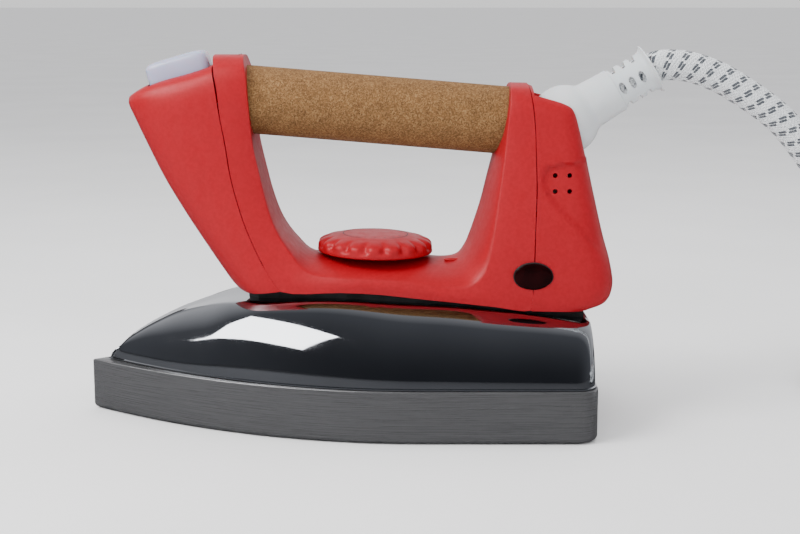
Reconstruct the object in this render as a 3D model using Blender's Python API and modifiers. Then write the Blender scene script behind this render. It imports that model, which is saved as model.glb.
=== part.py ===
"""Handpiece of a household steam station: an iron with a cork grip.

+X points to the heel, -X to the tip, -Y is the iron's left side, +Z is up,
and z = 0 is the underside of the soleplate. Everything is in metres.
"""
import math

import bmesh
import bpy
from mathutils import Matrix, Vector

MM = 0.001
GAP = 0.3 * MM

# Soleplate and metal cover
TIP_X = -118.0 * MM
HEEL_X = 107.7 * MM
SOLE_HALF_WIDTH = 59.0 * MM
WIDEST_X = 32.0 * MM
SOLE_HEIGHT = 23.0 * MM
SOLE_FLOOR = 7.0 * MM
LIP_INSET = 1.2 * MM
TIP_LIP_INSET = 6.5 * MM
RECESS_INSET = 12.0 * MM
COVER_SHEET = 0.8 * MM
HEEL_CORNER = 9.0 * MM

# Plastic housing
SHELL = 2.2 * MM
SEAM_GAP = 0.4 * MM

# Grip
GRIP_LEFT = Vector((-46.5, 0.0, 142.1)) * MM
GRIP_RIGHT = Vector((73.6, 0.0, 132.27)) * MM
GRIP_RADIUS = 15.1 * MM
CORE_RADIUS = 6.0 * MM
CORE_BORE = 5.0 * MM

# Thermostat dial
KNOB_CENTRE = Vector((11.9, 0.0, 73.3)) * MM
KNOB_RADIUS = 25.9 * MM
KNOB_HEIGHT = 8.4 * MM
KNOB_TILT = math.radians(1.4)
SHAFT_RADIUS = 3.0 * MM

# Steam button
BUTTON_CENTRE = Vector((-73.3, 0.0, 152.9)) * MM
BUTTON_SLOPE = math.radians(16.0)
BUTTON_FRONT = 14.7 * MM
BUTTON_REAR = 13.3 * MM
BUTTON_HALF_WIDTH = 9.5 * MM
BUTTON_RISE = 8.5 * MM
BUTTON_DEPTH = 5.0 * MM

# Ball-jointed guard
BALL_CENTRE = Vector((96.8, 0.0, 132.6)) * MM
BALL_RADIUS = 15.6 * MM
ARM_ANGLE = math.radians(31.0)
ARM_LENGTH = 44.5 * MM

# Hose
HOSE_DIAMETER = 13.5 * MM
HOSE_RADIUS = HOSE_DIAMETER / 2
COIL_CENTRE = Vector((303.0, 23.3, 0.0)) * MM
COIL_INNER = 62.0 * MM
COIL_OUTER = COIL_INNER + HOSE_DIAMETER

# Pilot lens
LENS_CENTRE = Vector((81.1, -30.4, 67.2)) * MM
LENS_LENGTH = 17.4 * MM
LENS_HEIGHT = 12.0 * MM


# ---------------------------------------------------------------- helpers

def clear_scene():
    for obj in list(bpy.data.objects):
        bpy.data.objects.remove(obj)


def make_collection(name):
    collection = bpy.data.collections.new(name)
    bpy.context.scene.collection.children.link(collection)
    return collection


def material(name, colour, roughness, metallic=0.0):
    found = bpy.data.materials.get(name)
    if found:
        return found
    made = bpy.data.materials.new(name)
    made.use_nodes = True
    shader = made.node_tree.nodes["Principled BSDF"]
    shader.inputs["Base Color"].default_value = (*colour, 1.0)
    shader.inputs["Roughness"].default_value = roughness
    shader.inputs["Metallic"].default_value = metallic
    return made


def red_plastic():
    return material("red_plastic", (0.72, 0.045, 0.055), 0.45)


def black_plastic():
    return material("black_plastic", (0.02, 0.02, 0.02), 0.5)


def grey_rubber():
    return material("grey_rubber", (0.68, 0.70, 0.71), 0.5)


def steel():
    return material("steel", (0.55, 0.55, 0.56), 0.35, 1.0)


def brass():
    return material("brass", (0.75, 0.55, 0.22), 0.3, 1.0)


def add_object(name, mesh, mat, collection=None):
    obj = bpy.data.objects.new(name, mesh)
    (collection or PARTS).objects.link(obj)
    if mat:
        mesh.materials.append(mat)
    return obj


def mesh_of(name, bm):
    bmesh.ops.recalc_face_normals(bm, faces=bm.faces[:])
    mesh = bpy.data.meshes.new(name)
    bm.to_mesh(mesh)
    bm.free()
    return mesh


def smooth(obj, angle=35.0):
    obj.data.shade_smooth()
    obj.data.set_sharp_from_angle(angle=math.radians(angle))
    return obj


def along(start, end):
    """Matrix whose Z axis runs from start to end, with its origin at start."""
    turn = (end - start).to_track_quat("Z", "Y")
    return Matrix.Translation(start) @ turn.to_matrix().to_4x4()


def rod(name, start, end, radius, mat, sides=20, collection=None):
    bm = bmesh.new()
    length = (end - start).length
    bmesh.ops.create_cone(
        bm, cap_ends=True, segments=sides, radius1=radius, radius2=radius,
        depth=length, matrix=Matrix.Translation((0, 0, length / 2)))
    obj = add_object(name, mesh_of(name, bm), mat, collection)
    obj.matrix_world = along(start, end)
    return smooth(obj)


def block(name, size, matrix, mat, bevel=0.0, collection=None):
    bm = bmesh.new()
    bmesh.ops.create_cube(bm, size=1.0)
    bmesh.ops.scale(bm, vec=size, verts=bm.verts)
    obj = add_object(name, mesh_of(name, bm), mat, collection)
    obj.matrix_world = matrix
    if bevel:
        rounding = obj.modifiers.new("edges", "BEVEL")
        rounding.width = bevel
        rounding.segments = 2
    return obj


def turned(name, profile, matrix, mat, steps=32, closed=False):
    """Turn a profile of (radius, height) about the matrix's Z axis."""
    bm = bmesh.new()
    verts = [bm.verts.new((r, 0.0, z)) for r, z in profile]
    for first, second in zip(verts, verts[1:]):
        bm.edges.new((first, second))
    if closed:
        bm.edges.new((verts[-1], verts[0]))
    mesh = bpy.data.meshes.new(name)
    bm.to_mesh(mesh)
    bm.free()
    obj = add_object(name, mesh, mat)
    obj.matrix_world = matrix
    screw = obj.modifiers.new("turn", "SCREW")
    screw.steps = steps
    screw.render_steps = steps
    screw.use_merge_vertices = True
    screw.merge_threshold = 0.00001
    return obj


def tube(name, points, radius, mat, resolution=2):
    """A bent tube along a list of points."""
    curve = bpy.data.curves.new(name, "CURVE")
    curve.dimensions = "3D"
    curve.bevel_depth = radius
    curve.bevel_resolution = resolution
    curve.use_fill_caps = True
    spline = curve.splines.new("POLY")
    spline.points.add(len(points) - 1)
    for slot, point in zip(spline.points, points):
        slot.co = (*point, 1.0)
    obj = bpy.data.objects.new(name, curve)
    PARTS.objects.link(obj)
    curve.materials.append(mat)
    return obj


def smooth_route(points, spacing):
    """Points read at an even spacing from a Catmull-Rom curve."""
    padded = [points[0] * 2 - points[1], *points, points[-1] * 2 - points[-2]]
    dense = []
    for a, b, c, d in zip(padded, padded[1:], padded[2:], padded[3:]):
        for step in range(16):
            t = step / 16
            dense.append(0.5 * ((2 * b) + (c - a) * t
                                + (2 * a - 5 * b + 4 * c - d) * t * t
                                + (3 * b - a - 3 * c + d) * t ** 3))
    dense.append(points[-1])
    total = sum((q - p).length for p, q in zip(dense, dense[1:]))
    count = max(2, round(total / spacing))
    step, result, walked, target = total / count, [dense[0]], 0.0, total / count
    for p, q in zip(dense, dense[1:]):
        length = (q - p).length
        while walked + length >= target and len(result) < count:
            result.append(p.lerp(q, (target - walked) / length))
            target += step
        walked += length
    result.append(dense[-1])
    return result


def cut(target, cutter, resolve_folds=False, operation="DIFFERENCE"):
    """Subtract a cutter; resolve_folds also cleans folds in a thin wall."""
    cutter.hide_render = True
    cutter.display_type = "WIRE"
    boolean = target.modifiers.new("cut_" + cutter.name, "BOOLEAN")
    boolean.operation = operation
    boolean.solver = "EXACT"
    boolean.use_self = resolve_folds
    boolean.object = cutter


def mirror_y(obj):
    modifier = obj.modifiers.new("mirror", "MIRROR")
    modifier.use_axis = (False, True, False)
    modifier.use_clip = True
    modifier.merge_threshold = 0.00001


def grid_faces(bm, rows):
    """Quads between neighbouring rows of vertices, skipping collapsed ones."""
    for upper, lower in zip(rows, rows[1:]):
        for a, b, c, d in zip(upper, upper[1:], lower[1:], lower):
            corners = list(dict.fromkeys((a, b, c, d)))
            if len(corners) > 2:
                bm.faces.new(corners)


def half_skin(name, rows, mat, thickness):
    """A shell whose -Y half is the surface through rows of points."""
    bm = bmesh.new()
    grid_faces(bm, [[bm.verts.new(p) for p in row] for row in rows])
    bmesh.ops.remove_doubles(bm, verts=bm.verts, dist=0.00001)
    bmesh.ops.recalc_face_normals(bm, faces=bm.faces[:])
    if sum(f.normal.y * f.calc_area() for f in bm.faces) > 0:
        bmesh.ops.reverse_faces(bm, faces=bm.faces[:])
    mesh = bpy.data.meshes.new(name)
    bm.to_mesh(mesh)
    bm.free()
    obj = add_object(name, mesh, mat)
    mirror_y(obj)
    solid = obj.modifiers.new("wall", "SOLIDIFY")
    solid.thickness = thickness
    solid.offset = -1.0
    solid.use_even_offset = True
    return obj


def half_loft(name, rings, mat, collection=None):
    """A closed solid whose -Y half is lofted through rings and capped."""
    bm = bmesh.new()
    rows = [[bm.verts.new(p) for p in ring] for ring in rings]
    grid_faces(bm, rows)
    bm.faces.new(rows[0])
    bm.faces.new(rows[-1])
    bmesh.ops.remove_doubles(bm, verts=bm.verts, dist=0.00001)
    obj = add_object(name, mesh_of(name, bm), mat, collection)
    mirror_y(obj)
    return obj


def interpolate(table, x):
    """Value at x on the straight lines through (x, value) pairs."""
    if x <= table[0][0]:
        return table[0][1]
    for (x0, v0), (x1, v1) in zip(table, table[1:]):
        if x <= x1:
            return v0 + (v1 - v0) * (x - x0) / (x1 - x0)
    return table[-1][1]


# ------------------------------------------------------- sole and cover

STATIONS = [(i / 12) ** 1.6 for i in range(13)]
CORNER_STEPS = (30.0, 60.0)


def half_ring(front, rear, half_width_at, height_at, corner=HEEL_CORNER):
    """Half an iron-shaped outline, from the tip round to the heel's middle."""
    shoulder = rear - corner
    points = []
    for f in STATIONS:
        x = front + (shoulder - front) * f
        points.append(Vector((x, -half_width_at(x) if f else 0.0, height_at(x))))
    width = half_width_at(shoulder)
    for degrees in CORNER_STEPS:
        turn = math.radians(degrees)
        x = shoulder + corner * math.sin(turn)
        y = -(width - corner * (1 - math.cos(turn)))
        points.append(Vector((x, y, height_at(x))))
    points.append(Vector((rear, -(width - corner), height_at(rear))))
    points.append(Vector((rear, 0.0, height_at(rear))))
    return points


def sole_ring(inset, height, tip_inset=None):
    """The sole's outline, drawn in by one distance, or by another at the tip."""
    front = TIP_X + (inset if tip_inset is None else tip_inset) * 1.25
    width = SOLE_HALF_WIDTH - inset

    def half_width_at(x):
        s = min(1.0, (x - front) / (WIDEST_X - front))
        return width * (1 - (1 - s) ** 2)

    return half_ring(front, HEEL_X - inset, half_width_at, lambda x: height)


def make_soleplate():
    rings = [
        sole_ring(3.0 * MM, 0.0),
        sole_ring(1.0 * MM, 0.5 * MM),
        sole_ring(0.0, 2.4 * MM),
        sole_ring(0.0, SOLE_HEIGHT - 0.6 * MM),
        sole_ring(0.6 * MM, SOLE_HEIGHT),
        sole_ring(RECESS_INSET, SOLE_HEIGHT),
        sole_ring(RECESS_INSET, SOLE_FLOOR),
    ]
    mat = material("sole_metal", (0.42, 0.42, 0.43), 0.3, 1.0)
    sole = half_loft("soleplate", rings, mat)
    for index, (x, y) in enumerate(steam_hole_places()):
        cut(sole, rod(f"steam_hole_{index}", Vector((x, y, -2 * MM)),
                      Vector((x, y, 9 * MM)), 1.5 * MM, None, 8, CUTTERS))
    return smooth(sole)


def steam_hole_places():
    places = [(-84 * MM, 0.0)]
    for x, y in ((-66, 12), (-46, 19), (-26, 25), (-4, 29)):
        places += [(x * MM, y * MM), (x * MM, -y * MM)]
    return places


CREASE_HEIGHT = [(-109, 25), (-102, 32), (-95, 37), (-87, 41.5), (-77, 46.2),
                 (-65, 50), (-52, 53), (-20, 55.8), (0, 56.4), (23, 55.2),
                 (45, 54), (66, 52), (88, 49.7), (105, 47.3)]
CREASE_WIDTH = [(-109, 2.4), (-95, 5.2), (-77, 7.4), (-65, 12), (-52, 20),
                (-38, 27), (-20, 32), (0, 34), (45, 34.5), (66, 35.5), (105, 40)]


def crease_height(x):
    return interpolate(CREASE_HEIGHT, x / MM) * MM


def crease_width(x):
    return interpolate(CREASE_WIDTH, x / MM) * MM


def cover_rings():
    """Rings from the lip up the domed side to the crease, then inwards."""
    lip = sole_ring(LIP_INSET, SOLE_HEIGHT + GAP, TIP_LIP_INSET)
    crease = half_ring(-109 * MM, 106.0 * MM, crease_width, crease_height, 7 * MM)
    last = math.radians(68)
    rings = [lip]
    for step in range(1, 7):
        turn = last * step / 6
        out = (1 - math.cos(turn)) / (1 - math.cos(last))
        up = math.sin(turn) / math.sin(last)
        rings.append([Vector((a.x + (b.x - a.x) * out, a.y + (b.y - a.y) * out,
                              a.z + (b.z - a.z) * up)) for a, b in zip(lip, crease)])
    spine_end = crease[-1].x - 12 * MM
    for share in (0.4, 1.0):
        rings.append([p.lerp(spine_point(p, spine_end), share) for p in crease])
    return rings


def spine_point(point, spine_end):
    """Where the top face's middle line is beside a point of its edge."""
    x = min(point.x, spine_end)
    return Vector((x, 0.0, crease_height(x)))


# Holes up through the metal cover and the spacer: name, x and radius.
SERVICE_HOLES = (("shaft", 11.9 * MM, 4.5 * MM), ("nipple", 70 * MM, 5.0 * MM),
                 ("bolt_front", -20 * MM, 3.0 * MM), ("bolt_rear", 50 * MM, 3.0 * MM),
                 ("leads", 92 * MM, 8.0 * MM))


def cut_service_holes(target, low, high):
    for name, x, radius in SERVICE_HOLES:
        cut(target, rod(f"{target.name}_hole_{name}", Vector((x, 0, low)),
                        Vector((x, 0, high)), radius, None, 16, CUTTERS))


def make_chrome_cover():
    mat = material("chrome", (0.75, 0.75, 0.77), 0.05, 1.0)
    cover = half_skin("chrome_cover", cover_rings(), mat, COVER_SHEET)
    cut_service_holes(cover, 40 * MM, 62 * MM)
    return smooth(cover, 25)


def make_steam_chamber_cover():
    rings = [sole_ring(i * MM, z * MM) for i, z in
             ((24, 7.3), (24, 8.5), (27, 8.5), (29, 14), (32, 15),
              (33, 13.8), (30, 13), (28.2, 7.3))]
    mat = material("pan_metal", (0.5, 0.5, 0.5), 0.45, 1.0)
    bm = bmesh.new()
    rows = [[bm.verts.new(p) for p in ring] for ring in rings]
    top = rings.index(rings[4])
    grid_faces(bm, rows[:top + 1])
    bm.faces.new(rows[top])
    bm.faces.new(rows[top + 1])
    grid_faces(bm, rows[top + 1:])
    grid_faces(bm, [rows[-1], rows[0]])
    pan = add_object("steam_chamber_cover", mesh_of("steam_chamber_cover", bm), mat)
    mirror_y(pan)
    cut(pan, rod("pan_inlet", Vector((70, 0, 12)) * MM, Vector((70, 0, 17)) * MM,
                 2.0 * MM, None, 12, CUTTERS))
    return pan


def make_heating_element():
    side = sole_ring(17.5 * MM, 12.6 * MM)[2:14]
    near = [p for p in side if p.x < 88 * MM]
    far = [Vector((p.x, -p.y, p.z)) for p in near]
    route = smooth_route(near[::-1] + far, 14 * MM)
    return tube("heating_element", route, 3.6 * MM, steel())


def make_spacer():
    mat = black_plastic()
    length = [-45, -40, -30, -15, 0, 15, 30, 45, 60, 75, 90, 104]
    outline = [(-45, 0.0), (-45, 6), (-40, 14), (-30, 20), (-15, 24.5), (0, 27),
               (30, 28.5), (60, 29), (92, 29), (104, 24), (104, 0)]

    def ring(height_at):
        points = [Vector((x * MM, -interpolate(outline[1:-1], x) * MM, 0))
                  for x in length]
        points = [Vector((points[0].x, 0, 0)), *points, Vector((points[-1].x, 0, 0))]
        return [Vector((p.x, p.y, height_at(p.x))) for p in points]

    bm = bmesh.new()
    rows = []
    for height_at in (lambda x: crease_height(x) + GAP,
                      lambda x: bottom_edge_height(x) - GAP):
        outer = ring(height_at)
        rows.append([[bm.verts.new(p) for p in outer],
                     [bm.verts.new((p.x, 0.0, p.z)) for p in outer[1:-1]]])
    for outer, middle in rows:
        for i in range(1, len(outer) - 2):
            bm.faces.new((outer[i], outer[i + 1], middle[i], middle[i - 1]))
    grid_faces(bm, [rows[0][0], rows[1][0]])
    bmesh.ops.remove_doubles(bm, verts=bm.verts, dist=0.00001)
    spacer = add_object("spacer", mesh_of("spacer", bm), mat)
    mirror_y(spacer)
    cut_service_holes(spacer, 40 * MM, 66 * MM)
    return spacer


# ------------------------------------------------------------- housing

# Each row of the U-shaped frame: the outer edge (a seam or the lower edge),
# the ridge, and the inner face's middle, as x, z and half width in mm.
FRAME_ROWS = [
    ((-58.7, 161.7, 0), (-45.6, 161.7, 0), (-45.6, 161.7)),
    ((-58.6, 161.0, 8.5), (-45.4, 161.0, 8.5), (-45.4, 161.0)),
    ((-58.2, 158.6, 13.4), (-44.9, 158.6, 13.4), (-44.9, 158.6)),
    ((-57.6, 154.0, 16.9), (-43.9, 154.0, 16.6), (-43.9, 154.0)),
    ((-56.2, 146.6, 18.6), (-43.1, 145.0, 18.0), (-43.1, 145.0)),
    ((-54.8, 134.5, 19.3), (-42.1, 134.0, 18.2), (-42.4, 133.0)),
    ((-52.7, 123.5, 19.9), (-41.0, 123.5, 18.4), (-41.3, 122.5)),
    ((-50.7, 110.1, 20.6), (-38.4, 111.0, 18.9), (-38.2, 110.5)),
    ((-47.6, 97.7, 21.6), (-35.6, 98.5, 19.9), (-34.1, 98.0)),
    ((-43.4, 85.4, 23.0), (-31.8, 87.0, 21.6), (-28.9, 86.0)),
    ((-36.9, 71.5, 25.0), (-25.0, 76.0, 24.0), (-22.8, 78.6)),
    ((-29.0, 59.7, 27.0), (-16.5, 67.4, 27.0), (-16.0, 73.2)),
    ((-3.0, 59.9, 30.5), (-1.0, 65.4, 29.8), (-3.0, 72.8)),
    ((13.7, 59.3, 31.3), (12.0, 64.9, 30.5), (12.0, 72.4)),
    ((30.4, 57.6, 31.8), (29.7, 63.5, 30.8), (29.0, 71.8)),
    ((47.3, 55.9, 32.2), (42.0, 61.4, 31.0), (41.0, 70.7)),
    ((64.0, 54.1, 32.4), (53.0, 61.8, 30.8), (48.6, 72.0)),
    ((80.0, 52.5, 32.5), (59.5, 66.5, 30.0), (52.4, 76.8)),
    ((81.1, 60.8, 31.6), (62.3, 73.5, 28.6), (54.6, 82.0)),
    ((81.6, 78.9, 29.4), (64.6, 85.0, 26.8), (57.0, 89.0)),
    ((82.2, 95.8, 26.8), (66.3, 97.5, 24.6), (59.6, 97.5)),
    ((82.4, 107.0, 24.8), (67.6, 107.5, 23.0), (62.0, 107.5)),
    ((82.1, 120.0, 22.6), (69.2, 120.4, 21.0), (65.2, 120.0)),
    ((81.8, 130.0, 20.8), (70.0, 130.0, 19.6), (67.8, 129.5)),
    ((80.9, 139.5, 19.2), (70.9, 139.5, 18.5), (70.3, 139.0)),
    ((80.0, 145.5, 15.9), (71.4, 146.0, 15.6), (71.4, 146.0)),
    ((79.7, 148.0, 10.4), (71.8, 148.3, 10.2), (71.8, 148.3)),
    ((79.5, 149.2, 0), (72.2, 149.4, 0), (72.2, 149.4)),
]

# Each row of a cover: its seam edge (x, z, half width) and its outer middle.
FRONT_ROWS = [
    ((-59.0, 157.4, 0), (-96.9, 143.4)), ((-58.9, 157.1, 9.0), (-97.2, 143.0)),
    ((-58.7, 156.0, 13.5), (-97.5, 141.8)), ((-58.2, 153.0, 16.6), (-97.3, 139.5)),
    ((-57.0, 147.0, 18.4), (-95.2, 134.8)), ((-55.4, 136.0, 19.2), (-89.8, 123.0)),
    ((-53.2, 124.0, 19.9), (-82.4, 107.5)), ((-51.1, 110.4, 20.6), (-74.6, 94.0)),
    ((-48.0, 98.0, 21.6), (-67.5, 82.8)), ((-43.8, 85.6, 23.0), (-60.2, 71.8)),
    ((-37.3, 71.7, 25.0), (-53.2, 61.8)), ((-31.6, 62.6, 26.6), (-50.0, 58.6)),
    ((-29.4, 59.7, 27.0), (-48.0, 57.4)),
]
REAR_ROWS = [
    ((80.4, 52.2, 32.5), (108.5, 51.6)), ((80.6, 55.5, 32.3), (115.8, 54.5)),
    ((81.4, 61.0, 31.6), (118.3, 61.5)), ((81.8, 70.0, 30.5), (116.9, 71.0)),
    ((82.1, 84.0, 28.7), (113.4, 84.0)), ((82.6, 97.0, 26.6), (110.3, 97.0)),
    ((82.8, 107.0, 24.8), (108.0, 107.0)), ((82.4, 119.0, 22.7), (105.5, 118.5)),
    ((82.1, 130.0, 20.8), (103.2, 129.5)), ((81.3, 139.0, 19.3), (101.6, 136.5)),
    ((80.5, 144.4, 16.5), (100.9, 139.2)), ((80.2, 147.0, 11.0), (100.3, 140.6)),
    ((80.0, 148.6, 0), (99.9, 141.4)),
]


# Where along a cover's section its points lie, from the seam outwards.
COVER_SHARES = (0.0, 0.3, 0.58, 0.8, 0.92, 0.98, 1.0)


def bottom_edge_height(x):
    """Height of the housing's lower edge."""
    lower = [(-48.0, 57.4), (-29.0, 59.7), (-3.0, 59.9), (13.7, 59.3), (30.4, 57.6),
             (47.3, 55.9), (64.0, 54.1), (80.0, 52.2), (108.5, 51.6)]
    return interpolate(lower, x / MM) * MM


def frame_row(edge, ridge, middle):
    """Half a section of the frame, from its outer edge over the ridge inwards."""
    points = [Vector((edge[0], -edge[2], edge[1]))]
    points.append(Vector(((edge[0] + ridge[0]) / 2,
                          -(edge[2] + ridge[2]) / 2 - (0.3 if ridge[2] else 0),
                          (edge[1] + ridge[1]) / 2)))
    for share in (1.0, 0.78, 0.52, 0.26, 0.0):
        inward = (1 - share ** 1.5) ** (1 / 1.5)
        points.append(Vector((ridge[0] + (middle[0] - ridge[0]) * inward,
                              -ridge[2] * share,
                              ridge[1] + (middle[1] - ridge[1]) * inward)))
    return [p * MM for p in points]


def cover_row(edge, outer, power, root, bump=0.0):
    """Half a section of a cover, from its seam round to its outer middle."""
    away = Vector((math.copysign(SEAM_GAP, outer[0] - edge[0]), 0, 0))
    points = []
    for t in COVER_SHARES:
        rise = bump * math.sin(math.pi * t * t)
        width = edge[2] * (1 - t ** power) ** (1 / root)
        points.append(Vector((edge[0] + (outer[0] - edge[0]) * t, -width,
                              edge[1] + (outer[1] - edge[1]) * t + rise)))
    return [p * MM + away * (1 - t) for p, t in zip(points, COVER_SHARES)]


def grip_bore(name, start, end):
    """Cutter for the round opening that one end of the grip sits in."""
    axis = (GRIP_RIGHT - GRIP_LEFT).normalized()
    return rod(name, GRIP_LEFT + axis * start, GRIP_LEFT + axis * end,
               GRIP_RADIUS + GAP, None, 40, CUTTERS)


def lens_cutter(name):
    cutter = rod(name, LENS_CENTRE + Vector((0, -6 * MM, 0)),
                 LENS_CENTRE + Vector((0, 8 * MM, 0)), 1.0, None, 28, CUTTERS)
    spread = Matrix.Diagonal((LENS_LENGTH / 2 + GAP, LENS_HEIGHT / 2 + GAP, 1, 1))
    cutter.data.transform(spread)
    return cutter


def make_handle_frame():
    rows = [frame_row(*row) for row in FRAME_ROWS]
    frame = half_skin("handle_frame", rows, red_plastic(), SHELL)
    length = (GRIP_RIGHT - GRIP_LEFT).length
    cut(frame, grip_bore("grip_bore_front", -1.5 * MM, 16 * MM), True)
    cut(frame, grip_bore("grip_bore_rear", length - 16 * MM, length + 1.5 * MM))
    cut(frame, rod("dial_bore", KNOB_CENTRE - Vector((0, 0, 12 * MM)),
                   KNOB_CENTRE + Vector((0, 0, 5 * MM)), 4.2 * MM, None, 20, CUTTERS))
    cut(frame, lens_cutter("frame_lens_opening"))
    return smooth(frame)


def make_front_cover():
    bumps = [2.0, 2.0, 1.8, 1.2, 0.5] + [0.0] * (len(FRONT_ROWS) - 5)
    rows = [cover_row(e, o, 3.0, 2.2, b) for (e, o), b in zip(FRONT_ROWS, bumps)]
    cover = half_skin("front_cover", rows, red_plastic(), SHELL)
    slot = Vector((BUTTON_FRONT + BUTTON_REAR + 2 * GAP,
                   2 * (BUTTON_HALF_WIDTH + GAP), 14 * MM))
    middle = (BUTTON_REAR - BUTTON_FRONT) / 2
    place = button_frame() @ Matrix.Translation((middle, 0, 0))
    cut(cover, block("button_slot", slot, place, None, 0, CUTTERS))
    return smooth(cover)


def make_rear_cover():
    rows = [cover_row(e, o, 6.0, 3.5) for e, o in REAR_ROWS]
    cover = half_skin("rear_cover", rows, red_plastic(), SHELL)
    size = Vector((50, 31.8, 50)) * MM
    place = Matrix.Translation(Vector((106.6, 0, 142.0)) * MM)
    cut(cover, block("ball_slot", size, place, None, 0, CUTTERS))
    for side in (-1, 1):
        for x in (90.6, 96.9):
            for z in (103.5, 110.3):
                inner, outer = side * 12 * MM, side * 32 * MM
                name = f"vent_{'near' if side < 0 else 'far'}_{x}_{z}"
                start = Vector((x * MM, inner, z * MM))
                end = Vector((x * MM, outer, z * MM))
                cut(cover, rod(name, start, end, 0.95 * MM, None, 8, CUTTERS))
    cut(cover, lens_cutter("rear_lens_opening"))
    return smooth(cover)


# ---------------------------------------------------------------- grip

def make_grip():
    length = (GRIP_RIGHT - GRIP_LEFT).length
    base = along(GRIP_LEFT, GRIP_RIGHT)
    bore = CORE_RADIUS + GAP
    cork = material("cork", (0.45, 0.26, 0.11), 0.85)
    grip = turned("cork_grip", [(GRIP_RADIUS, length), (GRIP_RADIUS, 0.0),
                                (bore, 0.0), (bore, length)], base, cork, 32, True)
    smooth(grip)
    rear = length + GAP
    core = turned("grip_core", [
        (9 * MM, rear + 1.4 * MM), (9 * MM, rear), (CORE_RADIUS, rear),
        (CORE_RADIUS, -9.5 * MM), (CORE_BORE, -9.5 * MM),
        (CORE_BORE, rear + 1.4 * MM)], base, steel(), 20, True)
    smooth(core)
    washer = turned("grip_washer", [(13 * MM, -GAP), (13 * MM, -1.7 * MM),
                                    (bore, -1.7 * MM), (bore, -GAP)],
                    base, steel(), 24, True)
    smooth(washer)
    flat = bore / math.cos(math.radians(30))
    turned("grip_nut", [(9.6 * MM, -2.0 * MM), (9.6 * MM, -7.0 * MM),
                        (flat, -7.0 * MM), (flat, -2.0 * MM)],
           base, steel(), 6, True)


# ---------------------------------------------------------- thermostat

def dial_frame():
    return Matrix.Translation(KNOB_CENTRE) @ Matrix.Rotation(KNOB_TILT, 4, "Y")


def make_thermostat():
    hole, depth = SHAFT_RADIUS + 0.1 * MM, 5.0 * MM
    profile = [(0, KNOB_HEIGHT), (12 * MM, KNOB_HEIGHT - 0.2 * MM),
               (19.5 * MM, KNOB_HEIGHT - 1.0 * MM), (KNOB_RADIUS, 4.6 * MM),
               (KNOB_RADIUS, 1.2 * MM), (24.8 * MM, 0), (hole, 0),
               (hole, depth), (0, depth)]
    knob = turned("thermostat_knob", profile, dial_frame(), red_plastic(), 40)
    smooth(knob)
    top = dial_frame() @ Vector((0, 0, depth - GAP))
    low = dial_frame() @ Vector((0, 0, -44 * MM))
    rod("thermostat_shaft", low, top, SHAFT_RADIUS, steel(), 16)
    ceramic = material("ceramic", (0.8, 0.78, 0.72), 0.6)
    seat = Vector((low.x, 0, 15.4 * MM))
    rod("thermostat_body", seat, Vector((low.x, 0, low.z - GAP)), 11 * MM, ceramic, 24)


def make_sole_fittings():
    rod("thermal_fuse", Vector((-34, -7, 19.6)) * MM, Vector((-34, 7, 19.6)) * MM,
        4.2 * MM, material("fuse", (0.85, 0.83, 0.78), 0.5), 16)
    nipple = [(3.6 * MM, 63.6 * MM), (3.6 * MM, 20 * MM), (6 * MM, 20 * MM),
              (6 * MM, 15.4 * MM), (1.9 * MM, 15.4 * MM), (1.9 * MM, 63.6 * MM)]
    place = Matrix.Translation((70 * MM, 0, 0))
    smooth(turned("steam_inlet_nipple", nipple, place, brass(), 16, True))
    make_housing_bolts()


def make_housing_bolts():
    profile = [(0, 67), (4.2, 67), (4.2, 63), (2.5, 63), (2.5, 15.5), (0, 15.5)]
    profile = [(r * MM, z * MM) for r, z in profile]
    for name, x in (("front", -20), ("rear", 50)):
        place = Matrix.Translation((x * MM, 0, 0))
        turned(f"housing_bolt_{name}", profile, place, steel(), 12)


# -------------------------------------------------------- steam button

def button_frame():
    """Frame on the sloping top, with Z along the button's travel."""
    return Matrix.Translation(BUTTON_CENTRE) @ Matrix.Rotation(-BUTTON_SLOPE, 4, "Y")


def make_button():
    middle = (BUTTON_REAR - BUTTON_FRONT) / 2
    place = button_frame() @ Matrix.Translation(
        (middle, 0, (BUTTON_RISE - BUTTON_DEPTH) / 2))
    size = Vector((BUTTON_FRONT + BUTTON_REAR, 2 * BUTTON_HALF_WIDTH,
                   BUTTON_RISE + BUTTON_DEPTH))
    milky = material("milky_plastic", (0.62, 0.66, 0.80), 0.3)
    button = block("steam_button", size, place, milky, 2.5 * MM)
    stem = rod("button_stem", button_frame() @ Vector((0, 0, -8.9 * MM)),
               button_frame() @ Vector((0, 0, -2 * MM)), 2.0 * MM, None, 12, CUTTERS)
    cut(button, stem, operation="UNION")


def make_switch():
    frame = button_frame()
    black = black_plastic()
    body = block("microswitch_body", Vector((17, 6.4, 10)) * MM,
                 frame @ Matrix.Translation((-1.5 * MM, 0, -17 * MM)), black)
    cut(body, rod("plunger_bore", frame @ Vector((0, 0, -18.4 * MM)),
                  frame @ Vector((0, 0, -10 * MM)), 1.8 * MM, None, 12, CUTTERS))
    rod("microswitch_plunger", frame @ Vector((0, 0, -15.2 * MM)),
        frame @ Vector((0, 0, -9.2 * MM)), 1.5 * MM,
        material("plunger", (0.75, 0.1, 0.08), 0.4), 12)
    block("switch_bracket", Vector((21, 24, 1.8)) * MM,
          frame @ Matrix.Translation((-2.5 * MM, 0, -23.3 * MM)), black)
    turns, steps, low, high = 3, 8, -11.2 * MM, -5.9 * MM
    points = []
    for step in range(turns * steps + 1):
        angle = 2 * math.pi * step / steps
        height = low + (high - low) * step / (turns * steps)
        points.append(frame @ Vector((4.3 * MM * math.cos(angle),
                                      4.3 * MM * math.sin(angle), height)))
    tube("button_spring", points, 0.4 * MM, steel())


# -------------------------------------------------- leads, lamp and lens

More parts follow.
